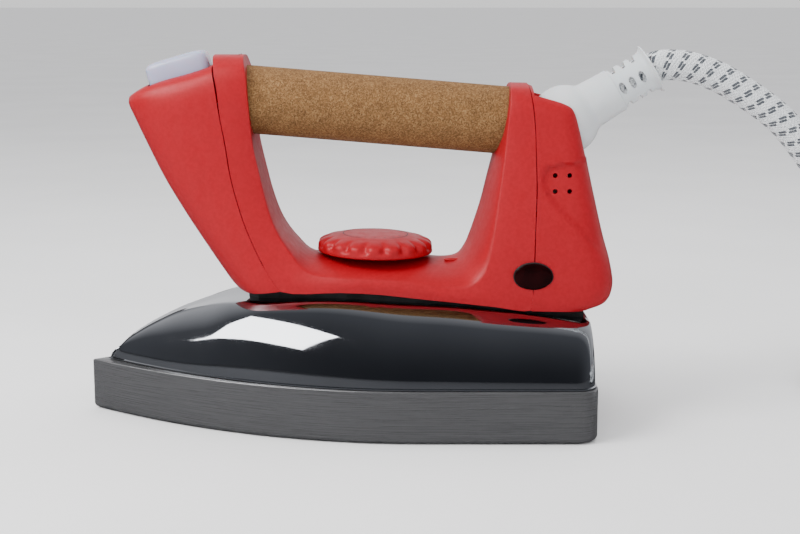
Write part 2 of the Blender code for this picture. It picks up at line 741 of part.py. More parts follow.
def make_wiring():
    insulation = material("lead", (0.7, 0.7, 0.66), 0.5)
    route = [Vector(p) * MM for p in (
        (-59.9, 0, 137.4), (-57.6, 0, 141.2), (-52, 0, 142.6),
        (-30, 0, 140.75), (20, 0, 136.65), (65, 0, 132.97), (75.4, 0, 132.0),
        (77.9, 1.5, 127.5), (78.6, 4, 120), (80, 7, 110), (84, 9, 96),
        (92, 9.5, 82), (98, 8, 70))]
    tube("switch_leads", smooth_route(route, 9 * MM), 1.4 * MM, insulation)
    for name, side in (("near", -1), ("far", 1)):
        points = [Vector(p) * MM for p in (
            (92, 4 * side, 56.5), (92, 4 * side, 47), (90, 7 * side, 36),
            (88, 16 * side, 26), (86, 26 * side, 19.5))]
        tube(f"heater_lead_{name}", smooth_route(points, 8 * MM), 1.2 * MM, insulation)
    block("terminal_block", Vector((18, 24, 10)) * MM,
          Matrix.Translation(Vector((99, 0, 62.5)) * MM),
          material("block", (0.85, 0.84, 0.8), 0.5))


def make_pilot():
    lens = rod("pilot_lens", LENS_CENTRE + Vector((0, -1.6 * MM, 0)),
               LENS_CENTRE + Vector((0, 2.6 * MM, 0)), 1.0,
               material("lens", (0.05, 0.004, 0.004), 0.1), 28)
    lens.data.transform(Matrix.Diagonal((LENS_LENGTH / 2, LENS_HEIGHT / 2, 1, 1)))
    rod("pilot_lamp", LENS_CENTRE + Vector((0, 3.4 * MM, 0)),
        LENS_CENTRE + Vector((0, 16 * MM, 0)), 2.8 * MM,
        material("lamp", (0.9, 0.5, 0.3), 0.1), 14)


# --------------------------------------------------------- guard and hose

def arm_direction():
    return Vector((math.cos(ARM_ANGLE), 0, math.sin(ARM_ANGLE)))


def make_guard():
    """Ball, arm and flexible sleeve, turned about the arm's axis."""
    join = 11.4 * MM
    profile = [(11.5, 0), (11.4, -0.9), (9.2, -3.3), (9.65, -17.3), (10.05, -17.8)]
    profile = [(r * MM, ARM_LENGTH + z * MM) for r, z in profile]
    profile.append((10.65 * MM, join))
    start = math.asin(10.65 * MM / BALL_RADIUS)
    for step in range(1, 9):
        turn = start + (math.pi - start) * step / 8
        profile.append((BALL_RADIUS * math.sin(turn) if step < 8 else 0.0,
                        BALL_RADIUS * math.cos(turn)))
    profile += [(0.0, -4 * MM), (5 * MM, -4 * MM), (5 * MM, 30 * MM),
                (7.1 * MM, 32 * MM), (7.1 * MM, ARM_LENGTH)]
    place = along(BALL_CENTRE, BALL_CENTRE + arm_direction())
    guard = turned("cord_guard", profile + profile[:1], place, grey_rubber(), 28)
    cut(guard, rod("guard_outlet", BALL_CENTRE, BALL_CENTRE - Vector((0, 0, 22 * MM)),
                   5.5 * MM, None, 16, CUTTERS))
    return smooth(guard)


def make_guard_saddle():
    """Cross-piece between the rear cover's walls, hollowed for the ball."""
    drop = Vector((-1.6, 0, -16.8)) * MM
    saddle = block("guard_saddle", Vector((10, 30, 5)) * MM,
                   Matrix.Translation(BALL_CENTRE + drop), black_plastic())
    bm = bmesh.new()
    bmesh.ops.create_uvsphere(bm, u_segments=32, v_segments=24,
                              radius=BALL_RADIUS + 0.5 * MM,
                              matrix=Matrix.Translation(BALL_CENTRE))
    cut(saddle, add_object("ball_seat", mesh_of("ball_seat", bm), None, CUTTERS))
    cut(saddle, rod("saddle_outlet", BALL_CENTRE + drop - Vector((0, 0, 6 * MM)),
                    BALL_CENTRE + drop, 3.8 * MM, None, 16, CUTTERS))


def make_steam_tube():
    route = [Vector(p) * MM for p in (
        (96.0, 0, 112), (94.5, 0, 102), (89.5, 0, 90), (82, 0, 80.5),
        (74, 0, 74.5), (70.3, 0, 69), (70, 0, 64.2))]
    tube("steam_tube", smooth_route(route, 5 * MM), 3.2 * MM,
         material("silicone", (0.8, 0.8, 0.78), 0.6))


# The hose's free stretch, from the guard's flare down to the coil's outer turn.
HOSE_ROUTE = ((135.2, 0, 155.67), (139.0, 0, 156.9), (145, 0, 157.0),
              (151.5, 0, 156.2), (159, 0, 154.0), (167.5, 0, 150.3),
              (176, 0, 145.2), (185, 0, 139.3), (193.5, 0, 132.5), (201.5, 0, 123.6),
              (211, -1.3, 110.8), (221, -5.0, 96.6), (232, -11.3, 80.5),
              (243, -19.0, 64.0), (254, -27.4, 47.0), (265, -35.8, 30.5),
              (276, -43.1, 18.0), (286, -48.3, 11.0), (295, -51.3, 7.8),
              (303, -52.2, 6.75))


def make_hose():
    braid = material("braid", (0.75, 0.76, 0.78), 0.8)
    points = [Vector(p) * MM for p in HOSE_ROUTE]
    route = smooth_route(points, HOSE_DIAMETER * 0.8)
    keep = [p for p in route if not inside_coil(p)]
    tube("hose_tube", keep, HOSE_RADIUS, braid, 3)
    half = HOSE_RADIUS
    low, high = 0.0, 2 * HOSE_DIAMETER
    inner, outer = COIL_INNER - half, COIL_OUTER + half
    ease = 3 * MM
    profile = [(outer - ease, high), (outer, high - ease), (outer, low + ease),
               (outer - ease, low), (inner + ease, low), (inner, low + ease),
               (inner, high - ease), (inner + ease, high)]
    coil = turned("hose_coil", profile, Matrix.Translation(COIL_CENTRE), braid, 40, True)
    smooth(coil)
    make_hose_end(braid)


def inside_coil(point):
    """Whether the hose at this point touches the coil's solid."""
    reach = (point - COIL_CENTRE).xy.length
    near = COIL_OUTER + HOSE_DIAMETER + GAP
    return reach < near and point.z < 2 * HOSE_DIAMETER + HOSE_RADIUS + 1.6 * MM


# The hose's end leaves the upper layer, climbs inwards and lies on the coil.
END_ARC = (270.0, 345.0)
END_RADII = (COIL_OUTER, 66.0 * MM)
END_HEIGHTS = (34.4 * MM, 37.9 * MM)
FITTING_HEIGHT = 38.0 * MM


def end_arc_point(share):
    """Point on the rising arc, from its start at 0 to its end at 1."""
    eased = share * share * (3 - 2 * share)
    angle = math.radians(END_ARC[0] + (END_ARC[1] - END_ARC[0]) * share)
    radius = END_RADII[0] + (END_RADII[1] - END_RADII[0]) * eased
    height = END_HEIGHTS[0] + (END_HEIGHTS[1] - END_HEIGHTS[0]) * eased
    return COIL_CENTRE + Vector((radius * math.cos(angle), radius * math.sin(angle), height))


def fitting_point(distance):
    """Point on the straight line that the end fitting lies on."""
    angle = math.radians(END_ARC[1])
    start = COIL_CENTRE + Vector((math.cos(angle), math.sin(angle), 0)) * END_RADII[1]
    heading = Vector((-math.sin(angle), math.cos(angle), 0))
    return start + heading * distance + Vector((0, 0, FITTING_HEIGHT))


def make_hose_end(braid):
    """The hose's end, its boot and the union nut of its steam fitting."""
    tail = [end_arc_point(i / 8) for i in range(9)]
    tail += [fitting_point(7 * MM), fitting_point(14 * MM)]
    tube("hose_tail", tail, HOSE_RADIUS, braid, 3)
    boot_start, boot_end = fitting_point(14.3 * MM), fitting_point(40 * MM)
    reach = (boot_end - boot_start).length
    boot = [(0, reach), (10.8 * MM, reach), (10.8 * MM, reach - 3 * MM),
            (9.6 * MM, reach - 3 * MM), (7.6 * MM, 0), (0, 0)]
    smooth(turned("hose_boot", boot, along(boot_start, boot_end), grey_rubber(), 24))
    union_start, union_end = fitting_point(40.3 * MM), fitting_point(58 * MM)
    reach = (union_end - union_start).length
    nut = [(0, reach), (4 * MM, reach), (4 * MM, 9 * MM), (8 * MM, 9 * MM),
           (8 * MM, 0), (0, 0)]
    turned("steam_union", nut, along(union_start, union_end), brass(), 6)


# ---------------------------------------------------------------- build

def build():
    make_soleplate()
    make_steam_chamber_cover()
    make_heating_element()
    make_chrome_cover()
    make_spacer()
    make_handle_frame()
    make_front_cover()
    make_rear_cover()
    make_grip()
    make_thermostat()
    make_sole_fittings()
    make_button()
    make_switch()
    make_wiring()
    make_pilot()
    make_guard()
    make_guard_saddle()
    make_steam_tube()
    make_hose()


clear_scene()
PARTS = make_collection("steam_iron")
CUTTERS = make_collection("cutters")
build()
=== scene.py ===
"""Looks of the cork-handled steam iron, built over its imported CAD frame.

+X points to the heel, -X to the tip, -Y is the iron's left side, +Z is up,
and the soleplate stands on z = 0. Lengths are in metres.
"""
import math

import bmesh
import bpy
from mathutils import Matrix, Vector


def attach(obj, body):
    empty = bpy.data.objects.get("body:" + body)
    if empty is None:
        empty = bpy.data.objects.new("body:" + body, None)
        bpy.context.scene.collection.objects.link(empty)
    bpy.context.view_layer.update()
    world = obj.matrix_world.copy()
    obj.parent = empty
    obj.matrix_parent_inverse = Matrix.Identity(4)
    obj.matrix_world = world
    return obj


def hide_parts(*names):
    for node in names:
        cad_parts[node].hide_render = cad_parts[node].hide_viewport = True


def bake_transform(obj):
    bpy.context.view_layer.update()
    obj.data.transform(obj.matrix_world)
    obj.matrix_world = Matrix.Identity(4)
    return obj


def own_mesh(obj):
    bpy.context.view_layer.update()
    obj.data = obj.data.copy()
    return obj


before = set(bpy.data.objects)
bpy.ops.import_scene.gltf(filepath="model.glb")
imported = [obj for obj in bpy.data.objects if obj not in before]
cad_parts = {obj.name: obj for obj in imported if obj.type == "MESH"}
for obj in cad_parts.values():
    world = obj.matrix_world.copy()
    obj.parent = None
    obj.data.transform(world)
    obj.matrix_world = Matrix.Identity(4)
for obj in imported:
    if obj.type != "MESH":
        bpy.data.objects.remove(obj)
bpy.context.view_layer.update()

MM = 0.001
WELD = 0.00001
SEAM_WELD = 0.00003

# ------------------------------------------------------------ dimensions
TIP_X = -118.0 * MM
HEEL_X = 107.7 * MM
SOLE_HALF_WIDTH = 59.0 * MM
WIDEST_X = 32.0 * MM
SOLE_HEIGHT = 23.0 * MM
LIP_INSET = 1.2 * MM
TIP_LIP_INSET = 6.5 * MM
RECESS_INSET = 12.0 * MM
HEEL_CORNER = 9.0 * MM
SHELL = 2.2 * MM
COVER_SHEET = 0.8 * MM
SOLE_EDGE = 0.8 * MM
SOLE_FOOT = 2.4 * MM
STEAM_HOLE = 1.5 * MM
VENT_HOLE = 1.05 * MM
PANEL_DEPTH = 1.5 * MM
TRIM_ABOVE = 145.0 * MM

GRIP_LEFT = Vector((-46.5, 0.0, 142.1)) * MM
GRIP_RIGHT = Vector((73.6, 0.0, 132.27)) * MM
GRIP_RADIUS = 15.1 * MM
GRIP_BORE = 6.3 * MM
GRIP_EDGE = 0.5 * MM

KNOB_CENTRE = Vector((11.9, 0.0, 73.3)) * MM
KNOB_TILT = math.radians(1.4)
KNOB_RADIUS = 25.9 * MM
KNOB_HEIGHT = 8.4
SCALLOPS = 18
SCALLOP_DEPTH = 1.9 * MM
PRINT_RAISE = 0.04 * MM

BUTTON_CENTRE = Vector((-73.3, 0.0, 152.9)) * MM
BUTTON_SLOPE = math.radians(16.0)
BUTTON_FRONT = 14.7 * MM
BUTTON_REAR = 13.3 * MM
BUTTON_HALF_WIDTH = 9.5 * MM
BUTTON_RISE = 8.5 * MM
BUTTON_DEPTH = 5.0 * MM

BALL_CENTRE = Vector((96.8, 0.0, 132.6)) * MM
BALL_RADIUS = 15.6 * MM
ARM_ANGLE = math.radians(31.0)
ARM_LENGTH = 44.5 * MM
ARM = Vector((math.cos(ARM_ANGLE), 0, math.sin(ARM_ANGLE)))
SLOT_PLACES = (28.4 * MM, 33.3 * MM, 38.2 * MM)
SIDE_SLOT, TOP_SLOT = 2.8 * MM, 6.6 * MM
SLOT_HALF_WIDTH = 1.4 * MM

HOSE_DIAMETER = 13.5 * MM
HOSE_RADIUS = HOSE_DIAMETER / 2
BRAID_ROUND = 9
BRAID_CELL = 6.5 * MM
COIL_CENTRE = Vector((303.0, 23.3, 0.0)) * MM
COIL_INNER = 62.0 * MM
COIL_OUTER = COIL_INNER + HOSE_DIAMETER

LENS_CENTRE = Vector((81.1, -30.4, 67.2)) * MM
LENS_LENGTH = 16.6 * MM
LENS_HEIGHT = 11.6 * MM
LENS_SEAT = 0.9 * MM

CAMERA_PLACE = (0.0232, -0.650, 0.184)
CAMERA_DIP = 10.3
CAMERA_LENS = 65.34

# --------------------------------------------------------- camera, light


def look_at(obj, target):
    obj.rotation_euler = (target - obj.location).to_track_quat("-Z", "Y").to_euler()


def make_camera():
    data = bpy.data.cameras.new("camera")
    data.lens = CAMERA_LENS
    data.sensor_width = 36.0
    data.clip_start = 0.01
    data.clip_end = 200.0
    camera = bpy.data.objects.new("camera", data)
    camera.location = CAMERA_PLACE
    camera.rotation_euler = (math.radians(90 - CAMERA_DIP), 0, 0)
    bpy.context.scene.collection.objects.link(camera)
    bpy.context.scene.camera = camera


def area_light(name, place, target, width, height, power, mirrored):
    """A light that is either seen in reflections or lights matt surfaces."""
    data = bpy.data.lights.new(name, "AREA")
    data.shape = "RECTANGLE"
    data.size = width
    data.size_y = height
    data.energy = power
    light = bpy.data.objects.new(name, data)
    light.location = place
    light.visible_glossy = mirrored
    light.visible_diffuse = not mirrored
    look_at(light, Vector(target))
    bpy.context.scene.collection.objects.link(light)


def make_lights():
    middle = (0.0, 0.0, 0.07)
    area_light("softbox_left", (-0.52, -0.34, 0.58), (-0.03, -0.04, 0.05),
               0.60, 0.42, 7.0, True)
    area_light("key_left", (-0.46, -0.30, 0.66), middle, 0.4, 0.3, 7.0, False)
    area_light("front_fill", (0.25, -1.3, 0.75), middle, 1.4, 0.9, 6.0, False)
    area_light("top", (0.1, 0.25, 1.1), middle, 1.2, 0.9, 8.0, False)


def make_world():
    """Pale to the eye; as a reflection it is bright behind, dim in front."""
    world = bpy.data.worlds.new("studio")
    bpy.context.scene.world = world
    world.use_nodes = True
    tree = world.node_tree
    tree.nodes.clear()
    new, link = tree.nodes.new, tree.links.new
    out = new("ShaderNodeOutputWorld")
    seen = new("ShaderNodeBackground")
    seen.inputs["Color"].default_value = (1.0, 1.0, 1.0, 1.0)
    seen.inputs["Strength"].default_value = 1.0
    felt = new("ShaderNodeBackground")
    even = new("ShaderNodeBackground")
    even.inputs["Color"].default_value = (1.0, 1.0, 1.02, 1.0)
    spread_light = new("ShaderNodeMixShader")
    mix = new("ShaderNodeMixShader")
    path = new("ShaderNodeLightPath")
    place = new("ShaderNodeTexCoord")
    split = new("ShaderNodeSeparateXYZ")
    ramp = new("ShaderNodeValToRGB")
    spread = new("ShaderNodeMapRange")
    spread.inputs["From Min"].default_value = -1.0
    ramp.color_ramp.elements[0].color = (0.03, 0.032, 0.038, 1)
    ramp.color_ramp.elements[1].color = (1.1, 1.1, 1.13, 1)
    middle = ramp.color_ramp.elements.new(0.52)
    middle.color = (0.12, 0.125, 0.14, 1)
    link(place.outputs["Generated"], split.inputs[0])
    link(split.outputs["Y"], spread.inputs["Value"])
    link(spread.outputs[0], ramp.inputs[0])
    link(ramp.outputs[0], felt.inputs["Color"])
    link(path.outputs["Is Camera Ray"], mix.inputs[0])
    link(path.outputs["Is Diffuse Ray"], spread_light.inputs[0])
    link(felt.outputs[0], spread_light.inputs[1])
    link(even.outputs[0], spread_light.inputs[2])
    link(spread_light.outputs[0], mix.inputs[1])
    link(seen.outputs[0], mix.inputs[2])
    link(mix.outputs[0], out.inputs["Surface"])


def make_floor():
    bm = bmesh.new()
    bmesh.ops.create_grid(bm, x_segments=1, y_segments=1, size=60.0)
    floor = bpy.data.objects.new("floor", end_mesh("floor", bm))
    floor.location = (0, 0, -0.0002)
    bpy.context.scene.collection.objects.link(floor)
    mat = Look("floor_card", (0.88, 0.88, 0.88), 0.9)
    pale = mat.ramp(mat.noise(6.0), ((0.35, (0.86, 0.86, 0.86)), (0.65, (0.9, 0.9, 0.9))))
    # Painted reflection: in mirror-like reflections the floor shows near black instead of its own
    # pale colour, so the chrome reflects darkness below it.
    mirrored = mat.node("ShaderNodeLightPath").outputs["Is Glossy Ray"]
    mat.colour(mat.mix(mirrored, pale, (0.05, 0.052, 0.058)))
    floor.data.materials.append(mat.material)


# -------------------------------------------------------------- materials

class Look:
    """A Principled material with a few helpers for procedural detail."""

    def __init__(self, name, colour, roughness, metallic=0.0):
        self.material = bpy.data.materials.new(name)
        self.material.use_nodes = True
        self.tree = self.material.node_tree
        self.shader = self.tree.nodes["Principled BSDF"]
        self.set("Base Color", (*colour, 1.0))
        self.set("Roughness", roughness)
        self.set("Metallic", metallic)
        self.height = None

    def set(self, socket, value):
        self.shader.inputs[socket].default_value = value

    def link(self, source, target):
        self.tree.links.new(source, target)

    def node(self, kind, **values):
        made = self.tree.nodes.new(kind)
        for key, value in values.items():
            setattr(made, key, value)
        return made

    def place(self, stretch=(1, 1, 1)):
        """The object's own coordinates in metres, stretched."""
        source = self.node("ShaderNodeTexCoord")
        mapping = self.node("ShaderNodeMapping")
        mapping.inputs["Scale"].default_value = stretch
        self.link(source.outputs["Object"], mapping.inputs["Vector"])
        return mapping.outputs[0]

    def noise(self, scale, detail=3.0, stretch=(1, 1, 1)):
        made = self.node("ShaderNodeTexNoise")
        made.inputs["Scale"].default_value = scale
        made.inputs["Detail"].default_value = detail
        self.link(self.place(stretch), made.inputs["Vector"])
        return made.outputs["Fac"]

    def cells(self, scale, output="Color"):
        made = self.node("ShaderNodeTexVoronoi")
        made.inputs["Scale"].default_value = scale
        self.link(self.place(), made.inputs["Vector"])
        return made.outputs[output]

    def math(self, operation, first, second=None, third=None):
        made = self.node("ShaderNodeMath", operation=operation)
        for slot, value in zip(made.inputs, (first, second, third)):
            if isinstance(value, (int, float)):
                slot.default_value = value
            elif value is not None:
                self.link(value, slot)
        return made.outputs[0]

    def ramp(self, source, stops):
        made = self.node("ShaderNodeValToRGB")
        elements = made.color_ramp.elements
        while len(elements) < len(stops):
            elements.new(0.5)
        for element, (where, colour) in zip(elements, stops):
            element.position = where
            element.color = (*colour, 1.0)
        self.link(source, made.inputs[0])
        return made.outputs[0]

    def mix(self, share, first, second, blend="MIX"):
        made = self.node("ShaderNodeMix", data_type="RGBA", blend_type=blend)
        for socket, value in ((made.inputs[0], share), (made.inputs[6], first),
                              (made.inputs[7], second)):
            if isinstance(value, (int, float)):
                socket.default_value = value
            elif isinstance(value, tuple):
                socket.default_value = (*value, 1.0)
            else:
                self.link(value, socket)
        return made.outputs[2]

    def colour(self, source):
        self.link(source, self.shader.inputs["Base Color"])

    def vary(self, low, high, source):
        self.colour(self.ramp(source, ((0.35, low), (0.65, high))))

    def roughen(self, low, high, source):
        spread = self.node("ShaderNodeMapRange")
        spread.inputs["From Min"].default_value = 0.3
        spread.inputs["From Max"].default_value = 0.7
        spread.inputs["To Min"].default_value = low
        spread.inputs["To Max"].default_value = high
        self.link(source, spread.inputs["Value"])
        self.link(spread.outputs[0], self.shader.inputs["Roughness"])

    def bump(self, source, depth, strength=1.0):
        made = self.node("ShaderNodeBump")
        made.inputs["Distance"].default_value = depth
        made.inputs["Strength"].default_value = strength
        self.link(source, made.inputs["Height"])
        if self.height:
            self.link(self.height, made.inputs["Normal"])
        self.height = made.outputs[0]
        self.link(self.height, self.shader.inputs["Normal"])


def red_look():
    look = Look("red_moulding", (0.33, 0.002, 0.008), 0.42)
    look.vary((0.31, 0.0015, 0.0065), (0.35, 0.0025, 0.0095), look.noise(700.0, 3.0))
    look.roughen(0.38, 0.48, look.noise(300.0))
    look.bump(look.noise(2600.0, 2.0), 0.00005, 0.4)
    look.set("Specular IOR Level", 0.3)
    return look.material


def cork_look():
    look = Look("pressed_cork", (0.19, 0.098, 0.033), 0.78)
    grain = look.cells(1900.0)
    value = look.node("ShaderNodeRGBToBW")
    look.link(grain, value.inputs[0])
    base = look.ramp(value.outputs[0], ((0.15, (0.13, 0.060, 0.018)),
                                        (0.5, (0.19, 0.093, 0.030)),
                                        (0.85, (0.27, 0.150, 0.060))))
    cloud = look.ramp(look.noise(200.0), ((0.3, (0.78, 0.76, 0.72)), (0.7, (1, 1, 1))))
    base = look.mix(1.0, base, cloud, "MULTIPLY")
    pits = look.noise(2300.0, 1.0)
    specks = look.ramp(pits, ((0.30, (1, 1, 1)), (0.36, (0, 0, 0))))
    look.colour(look.mix(specks, base, (0.045, 0.018, 0.006)))
    look.bump(look.cells(1900.0, "Distance"), 0.00012, 0.5)
    look.bump(pits, 0.00012, 0.5)
    look.set("Specular IOR Level", 0.3)
    return look.material


def chrome_look():
    look = Look("polished_cover", (0.40, 0.41, 0.43), 0.05, 1.0)
    look.vary((0.38, 0.39, 0.41), (0.42, 0.43, 0.45), look.noise(25.0))
    look.roughen(0.035, 0.075, look.noise(160.0))
    look.bump(look.noise(26.0, 1.0), 0.00012, 0.35)
    return look.material


def sole_look():
    look = Look("brushed_sole", (0.17, 0.17, 0.175), 0.3, 0.7)
    streaks = look.noise(1.0, 3.0, (40, 40, 7000))
    look.vary((0.145, 0.145, 0.149), (0.195, 0.195, 0.2), streaks)
    look.roughen(0.22, 0.4, streaks)
    look.bump(streaks, 0.00005, 0.5)
    look.set("Anisotropic", 0.4)
    return look.material


def dark_look():
    look = Look("black_moulding", (0.016, 0.016, 0.017), 0.55)
    look.vary((0.012, 0.012, 0.012), (0.022, 0.022, 0.023), look.noise(150.0))
    look.bump(look.noise(1800.0), 0.00006, 0.4)
    return look.material


def pale_look():
    look = Look("pale_flexible", (0.60, 0.615, 0.63), 0.42)
    look.vary((0.58, 0.595, 0.61), (0.62, 0.635, 0.65), look.noise(60.0))
    look.bump(look.noise(1600.0), 0.00004, 0.4)
    look.set("Subsurface Weight", 0.08)
    return look.material


def button_look():
    look = Look("milky_button", (0.36, 0.39, 0.53), 0.22)
    look.vary((0.35, 0.38, 0.52), (0.37, 0.40, 0.54), look.noise(50.0))
    look.roughen(0.18, 0.27, look.noise(120.0))
    look.bump(look.noise(500.0), 0.00003, 0.3)
    look.set("Subsurface Weight", 0.25)
    look.set("Coat Weight", 0.3)
    return look.material


def lens_look():
    look = Look("dark_lens", (0.008, 0.001, 0.0012), 0.08)
    look.vary((0.005, 0.0006, 0.0008), (0.013, 0.0012, 0.0016), look.noise(130.0))
    look.bump(look.noise(300.0), 0.00005, 0.25)
    look.set("Specular IOR Level", 0.25)
    return look.material


def metal_look(name, low, high, roughness):
    look = Look(name, low, roughness, 1.0)
    look.vary(low, high, look.noise(140.0))
    look.roughen(roughness - 0.06, roughness + 0.08, look.noise(300.0))
    look.bump(look.noise(900.0), 0.00004, 0.3)
    return look.material


def plain_look(name, low, high, roughness):
    look = Look(name, low, roughness)
    look.vary(low, high, look.noise(120.0))
    look.bump(look.noise(1200.0), 0.00005, 0.4)
    return look.material


def braid_look():
    """White braid with paired dark dashes; u runs round, v along, in cells."""
    look = Look("woven_braid", (0.80, 0.81, 0.82), 0.75)
    source = look.node("ShaderNodeUVMap", uv_map="braid")
    split = look.node("ShaderNodeSeparateXYZ")
    look.link(source.outputs[0], split.inputs[0])
    around, along = split.outputs["X"], split.outputs["Y"]
    row = look.math("SUBTRACT", look.math("FRACT", around), 0.5)
    shift = look.math("MULTIPLY", look.math("FLOOR", around), 0.25)
    step = look.math("SUBTRACT", look.math("FRACT", look.math("ADD", along, shift)), 0.5)
    slanted = look.math("ADD", step, look.math("MULTIPLY", row, 0.35))
    dashes = []
    for side in (-1, 1):
        wide = look.math("ABSOLUTE", look.math("ADD", slanted, 0.115 * side))
        tall = look.math("ABSOLUTE", look.math("ADD", row, 0.10 * side))
        dashes.append(look.math("MULTIPLY", look.math("LESS_THAN", wide, 0.10),
                                look.math("LESS_THAN", tall, 0.34)))
    dash = look.math("MAXIMUM", *dashes)
    fibre = look.noise(2200.0, 2.0)
    broken = look.math("MULTIPLY", dash, look.ramp(fibre, ((0.22, (0.3,) * 3), (0.42, (1,) * 3))))
    white = look.ramp(fibre, ((0.3, (0.50, 0.53, 0.55)), (0.62, (0.84, 0.86, 0.87))))
    look.colour(look.mix(broken, white, (0.075, 0.085, 0.10)))
    twists = []
    for sign in ("ADD", "SUBTRACT"):
        phase = look.math(sign, look.math("MULTIPLY", around, 2.0),
                          look.math("MULTIPLY", along, 4.0))
        twists.append(look.math("SINE", look.math("MULTIPLY", phase, math.tau)))
    look.bump(look.math("MAXIMUM", *twists), 0.00035, 0.7)
    look.bump(fibre, 0.0001, 0.5)
    look.set("Sheen Weight", 0.2)
    return look.material


# ---------------------------------------------------------- mesh helpers

def add_object(name, mesh, mat, body, matrix=None, crease=35.0):
    obj = bpy.data.objects.new(name, mesh)
    bpy.context.scene.collection.objects.link(obj)
    if matrix:
        obj.matrix_world = matrix
    if mat:
        mesh.materials.append(mat)
    mesh.shade_smooth()
    mesh.set_sharp_from_angle(angle=math.radians(crease))
    if body:
        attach(obj, body)
    return obj


def end_mesh(name, bm):
    mesh = bpy.data.meshes.new(name)
    bm.to_mesh(mesh)
    bm.free()
    return mesh


def mesh_of(name, bm):
    bmesh.ops.remove_doubles(bm, verts=bm.verts, dist=WELD)
    bmesh.ops.recalc_face_normals(bm, faces=bm.faces[:])
    return end_mesh(name, bm)


def beyond(end, neighbour):
    """The point past the end of a line: mirrored, where the line ends in y = 0."""
    if end.y == 0.0 and abs(neighbour.y) > 1e-6:
        return Vector((neighbour.x, -neighbour.y, neighbour.z))
    return end * 2 - neighbour


def catmull(points, parts):
    """The list with parts - 1 smooth points added between neighbours."""
    padded = [beyond(points[0], points[1]), *points, beyond(points[-1], points[-2])]
    out = []
    for a, b, c, d in zip(padded, padded[1:], padded[2:], padded[3:]):
        if (c - b).length < 1e-7:
            out += [b.copy() for _ in range(parts)]
            continue
        for step in range(parts):
            t = step / parts
            out.append(0.5 * ((2 * b) + (c - a) * t + (2 * a - 5 * b + 4 * c - d) * t * t
                              + (3 * b - a - 3 * c + d) * t ** 3))
    out.append(points[-1].copy())
    return out


def stacked(rows, parts):
    """Smooth rows added between neighbouring rows."""
    columns = [catmull(list(column), parts) for column in zip(*rows)]
    return [list(row) for row in zip(*columns)]


def grid(bm, rows, closed=False, capped=False):
    """Quads between neighbouring rows of points, with the ends filled if capped."""
    made = [[bm.verts.new(p) for p in row] for row in rows]
    for upper, lower in zip(made, made[1:]):
        if closed:
            upper = upper + upper[:1]
            lower = lower + lower[:1]
        for corners in zip(upper, upper[1:], lower[1:], lower):
            bm.faces.new(corners)
    if capped:
        bm.faces.new(made[0])
        bm.faces.new(made[-1])


def add_mirror(obj, weld):
    mirror = obj.modifiers.new("mirror", "MIRROR")
    mirror.use_axis = (False, True, False)
    mirror.use_clip = True
    mirror.merge_threshold = weld


def cut(obj, cutters):
    """Cut pieces out of the object, apply its modifiers and drop the cutters."""
    for cutter in cutters:
        boolean = obj.modifiers.new("cut", "BOOLEAN")
        boolean.operation = "DIFFERENCE"
        boolean.solver = "EXACT"
        boolean.object = cutter
    graph = bpy.context.evaluated_depsgraph_get()
    mesh = bpy.data.meshes.new_from_object(obj.evaluated_get(graph))
    obj.modifiers.clear()
    obj.data = mesh
    for cutter in cutters:
        bpy.data.objects.remove(cutter)


def trim_top(mesh, outer):
    """Lower vertices near the middle plane that stand above the outer surface."""
    reach = 3 * MM
    tops = [p for p in outer if p.z > TRIM_ABOVE]
    for vert in mesh.vertices:
        x, y, z = vert.co
        if z > TRIM_ABOVE and abs(y) < reach:
            near = [p.z for p in tops if abs(p.x - x) < reach and abs(p.y) < reach]
            if near:
                vert.co.z = min(z, max(near))


def shell(name, rows, mat, thickness, cutters=(), body="iron"):
    """A thin wall whose -Y half is a grid of points, with pieces cut out."""
    bm = bmesh.new()
    grid(bm, rows)
    bmesh.ops.remove_doubles(bm, verts=bm.verts, dist=SEAM_WELD)
    bmesh.ops.dissolve_degenerate(bm, edges=bm.edges[:], dist=WELD)
    bmesh.ops.recalc_face_normals(bm, faces=bm.faces[:])
    if sum(f.normal.y * f.calc_area() for f in bm.faces) > 0:
        bmesh.ops.reverse_faces(bm, faces=bm.faces[:])
    obj = add_object(name, end_mesh(name, bm), mat, None)
    add_mirror(obj, SEAM_WELD)
    wall = obj.modifiers.new("wall", "SOLIDIFY")
    wall.thickness = thickness
    wall.offset = -1.0
    cut(obj, cutters)
    trim_top(obj.data, [p for row in rows for p in row])
    obj.data.set_sharp_from_angle(angle=math.radians(38))
    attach(obj, body)
    return obj


def along(start, end):
    """Matrix whose Z axis runs from start to end, with its origin at start."""
    turn = (end - start).to_track_quat("Z", "Y")
    return Matrix.Translation(start) @ turn.to_matrix().to_4x4()


def rod_cutter(start, end, radius):
    bm = bmesh.new()
    length = (end - start).length
    bmesh.ops.create_cone(bm, cap_ends=True, segments=16, radius1=radius,
                          radius2=radius, depth=length,
                          matrix=Matrix.Translation((0, 0, length / 2)))
    bm.transform(along(start, end))
    return add_object("cutter", mesh_of("cutter", bm), None, None)


def box_cutter(size, matrix):
    bm = bmesh.new()
    bmesh.ops.create_cube(bm, size=1.0)
    bmesh.ops.scale(bm, vec=size, verts=bm.verts)
    bm.transform(matrix)
    return add_object("cutter", mesh_of("cutter", bm), None, None)


def turned(name, profile, matrix, mat, body, steps=64):
    """A closed solid turned from (radius, height) pairs about Z."""
    bm = bmesh.new()
    rows = []
    for radius, height in profile:
        rows.append([Vector((radius * math.cos(math.tau * i / steps),
                             radius * math.sin(math.tau * i / steps), height))
                     for i in range(steps)])
    grid(bm, rows + rows[:1], closed=True)
    return add_object(name, mesh_of(name, bm), mat, body, matrix)


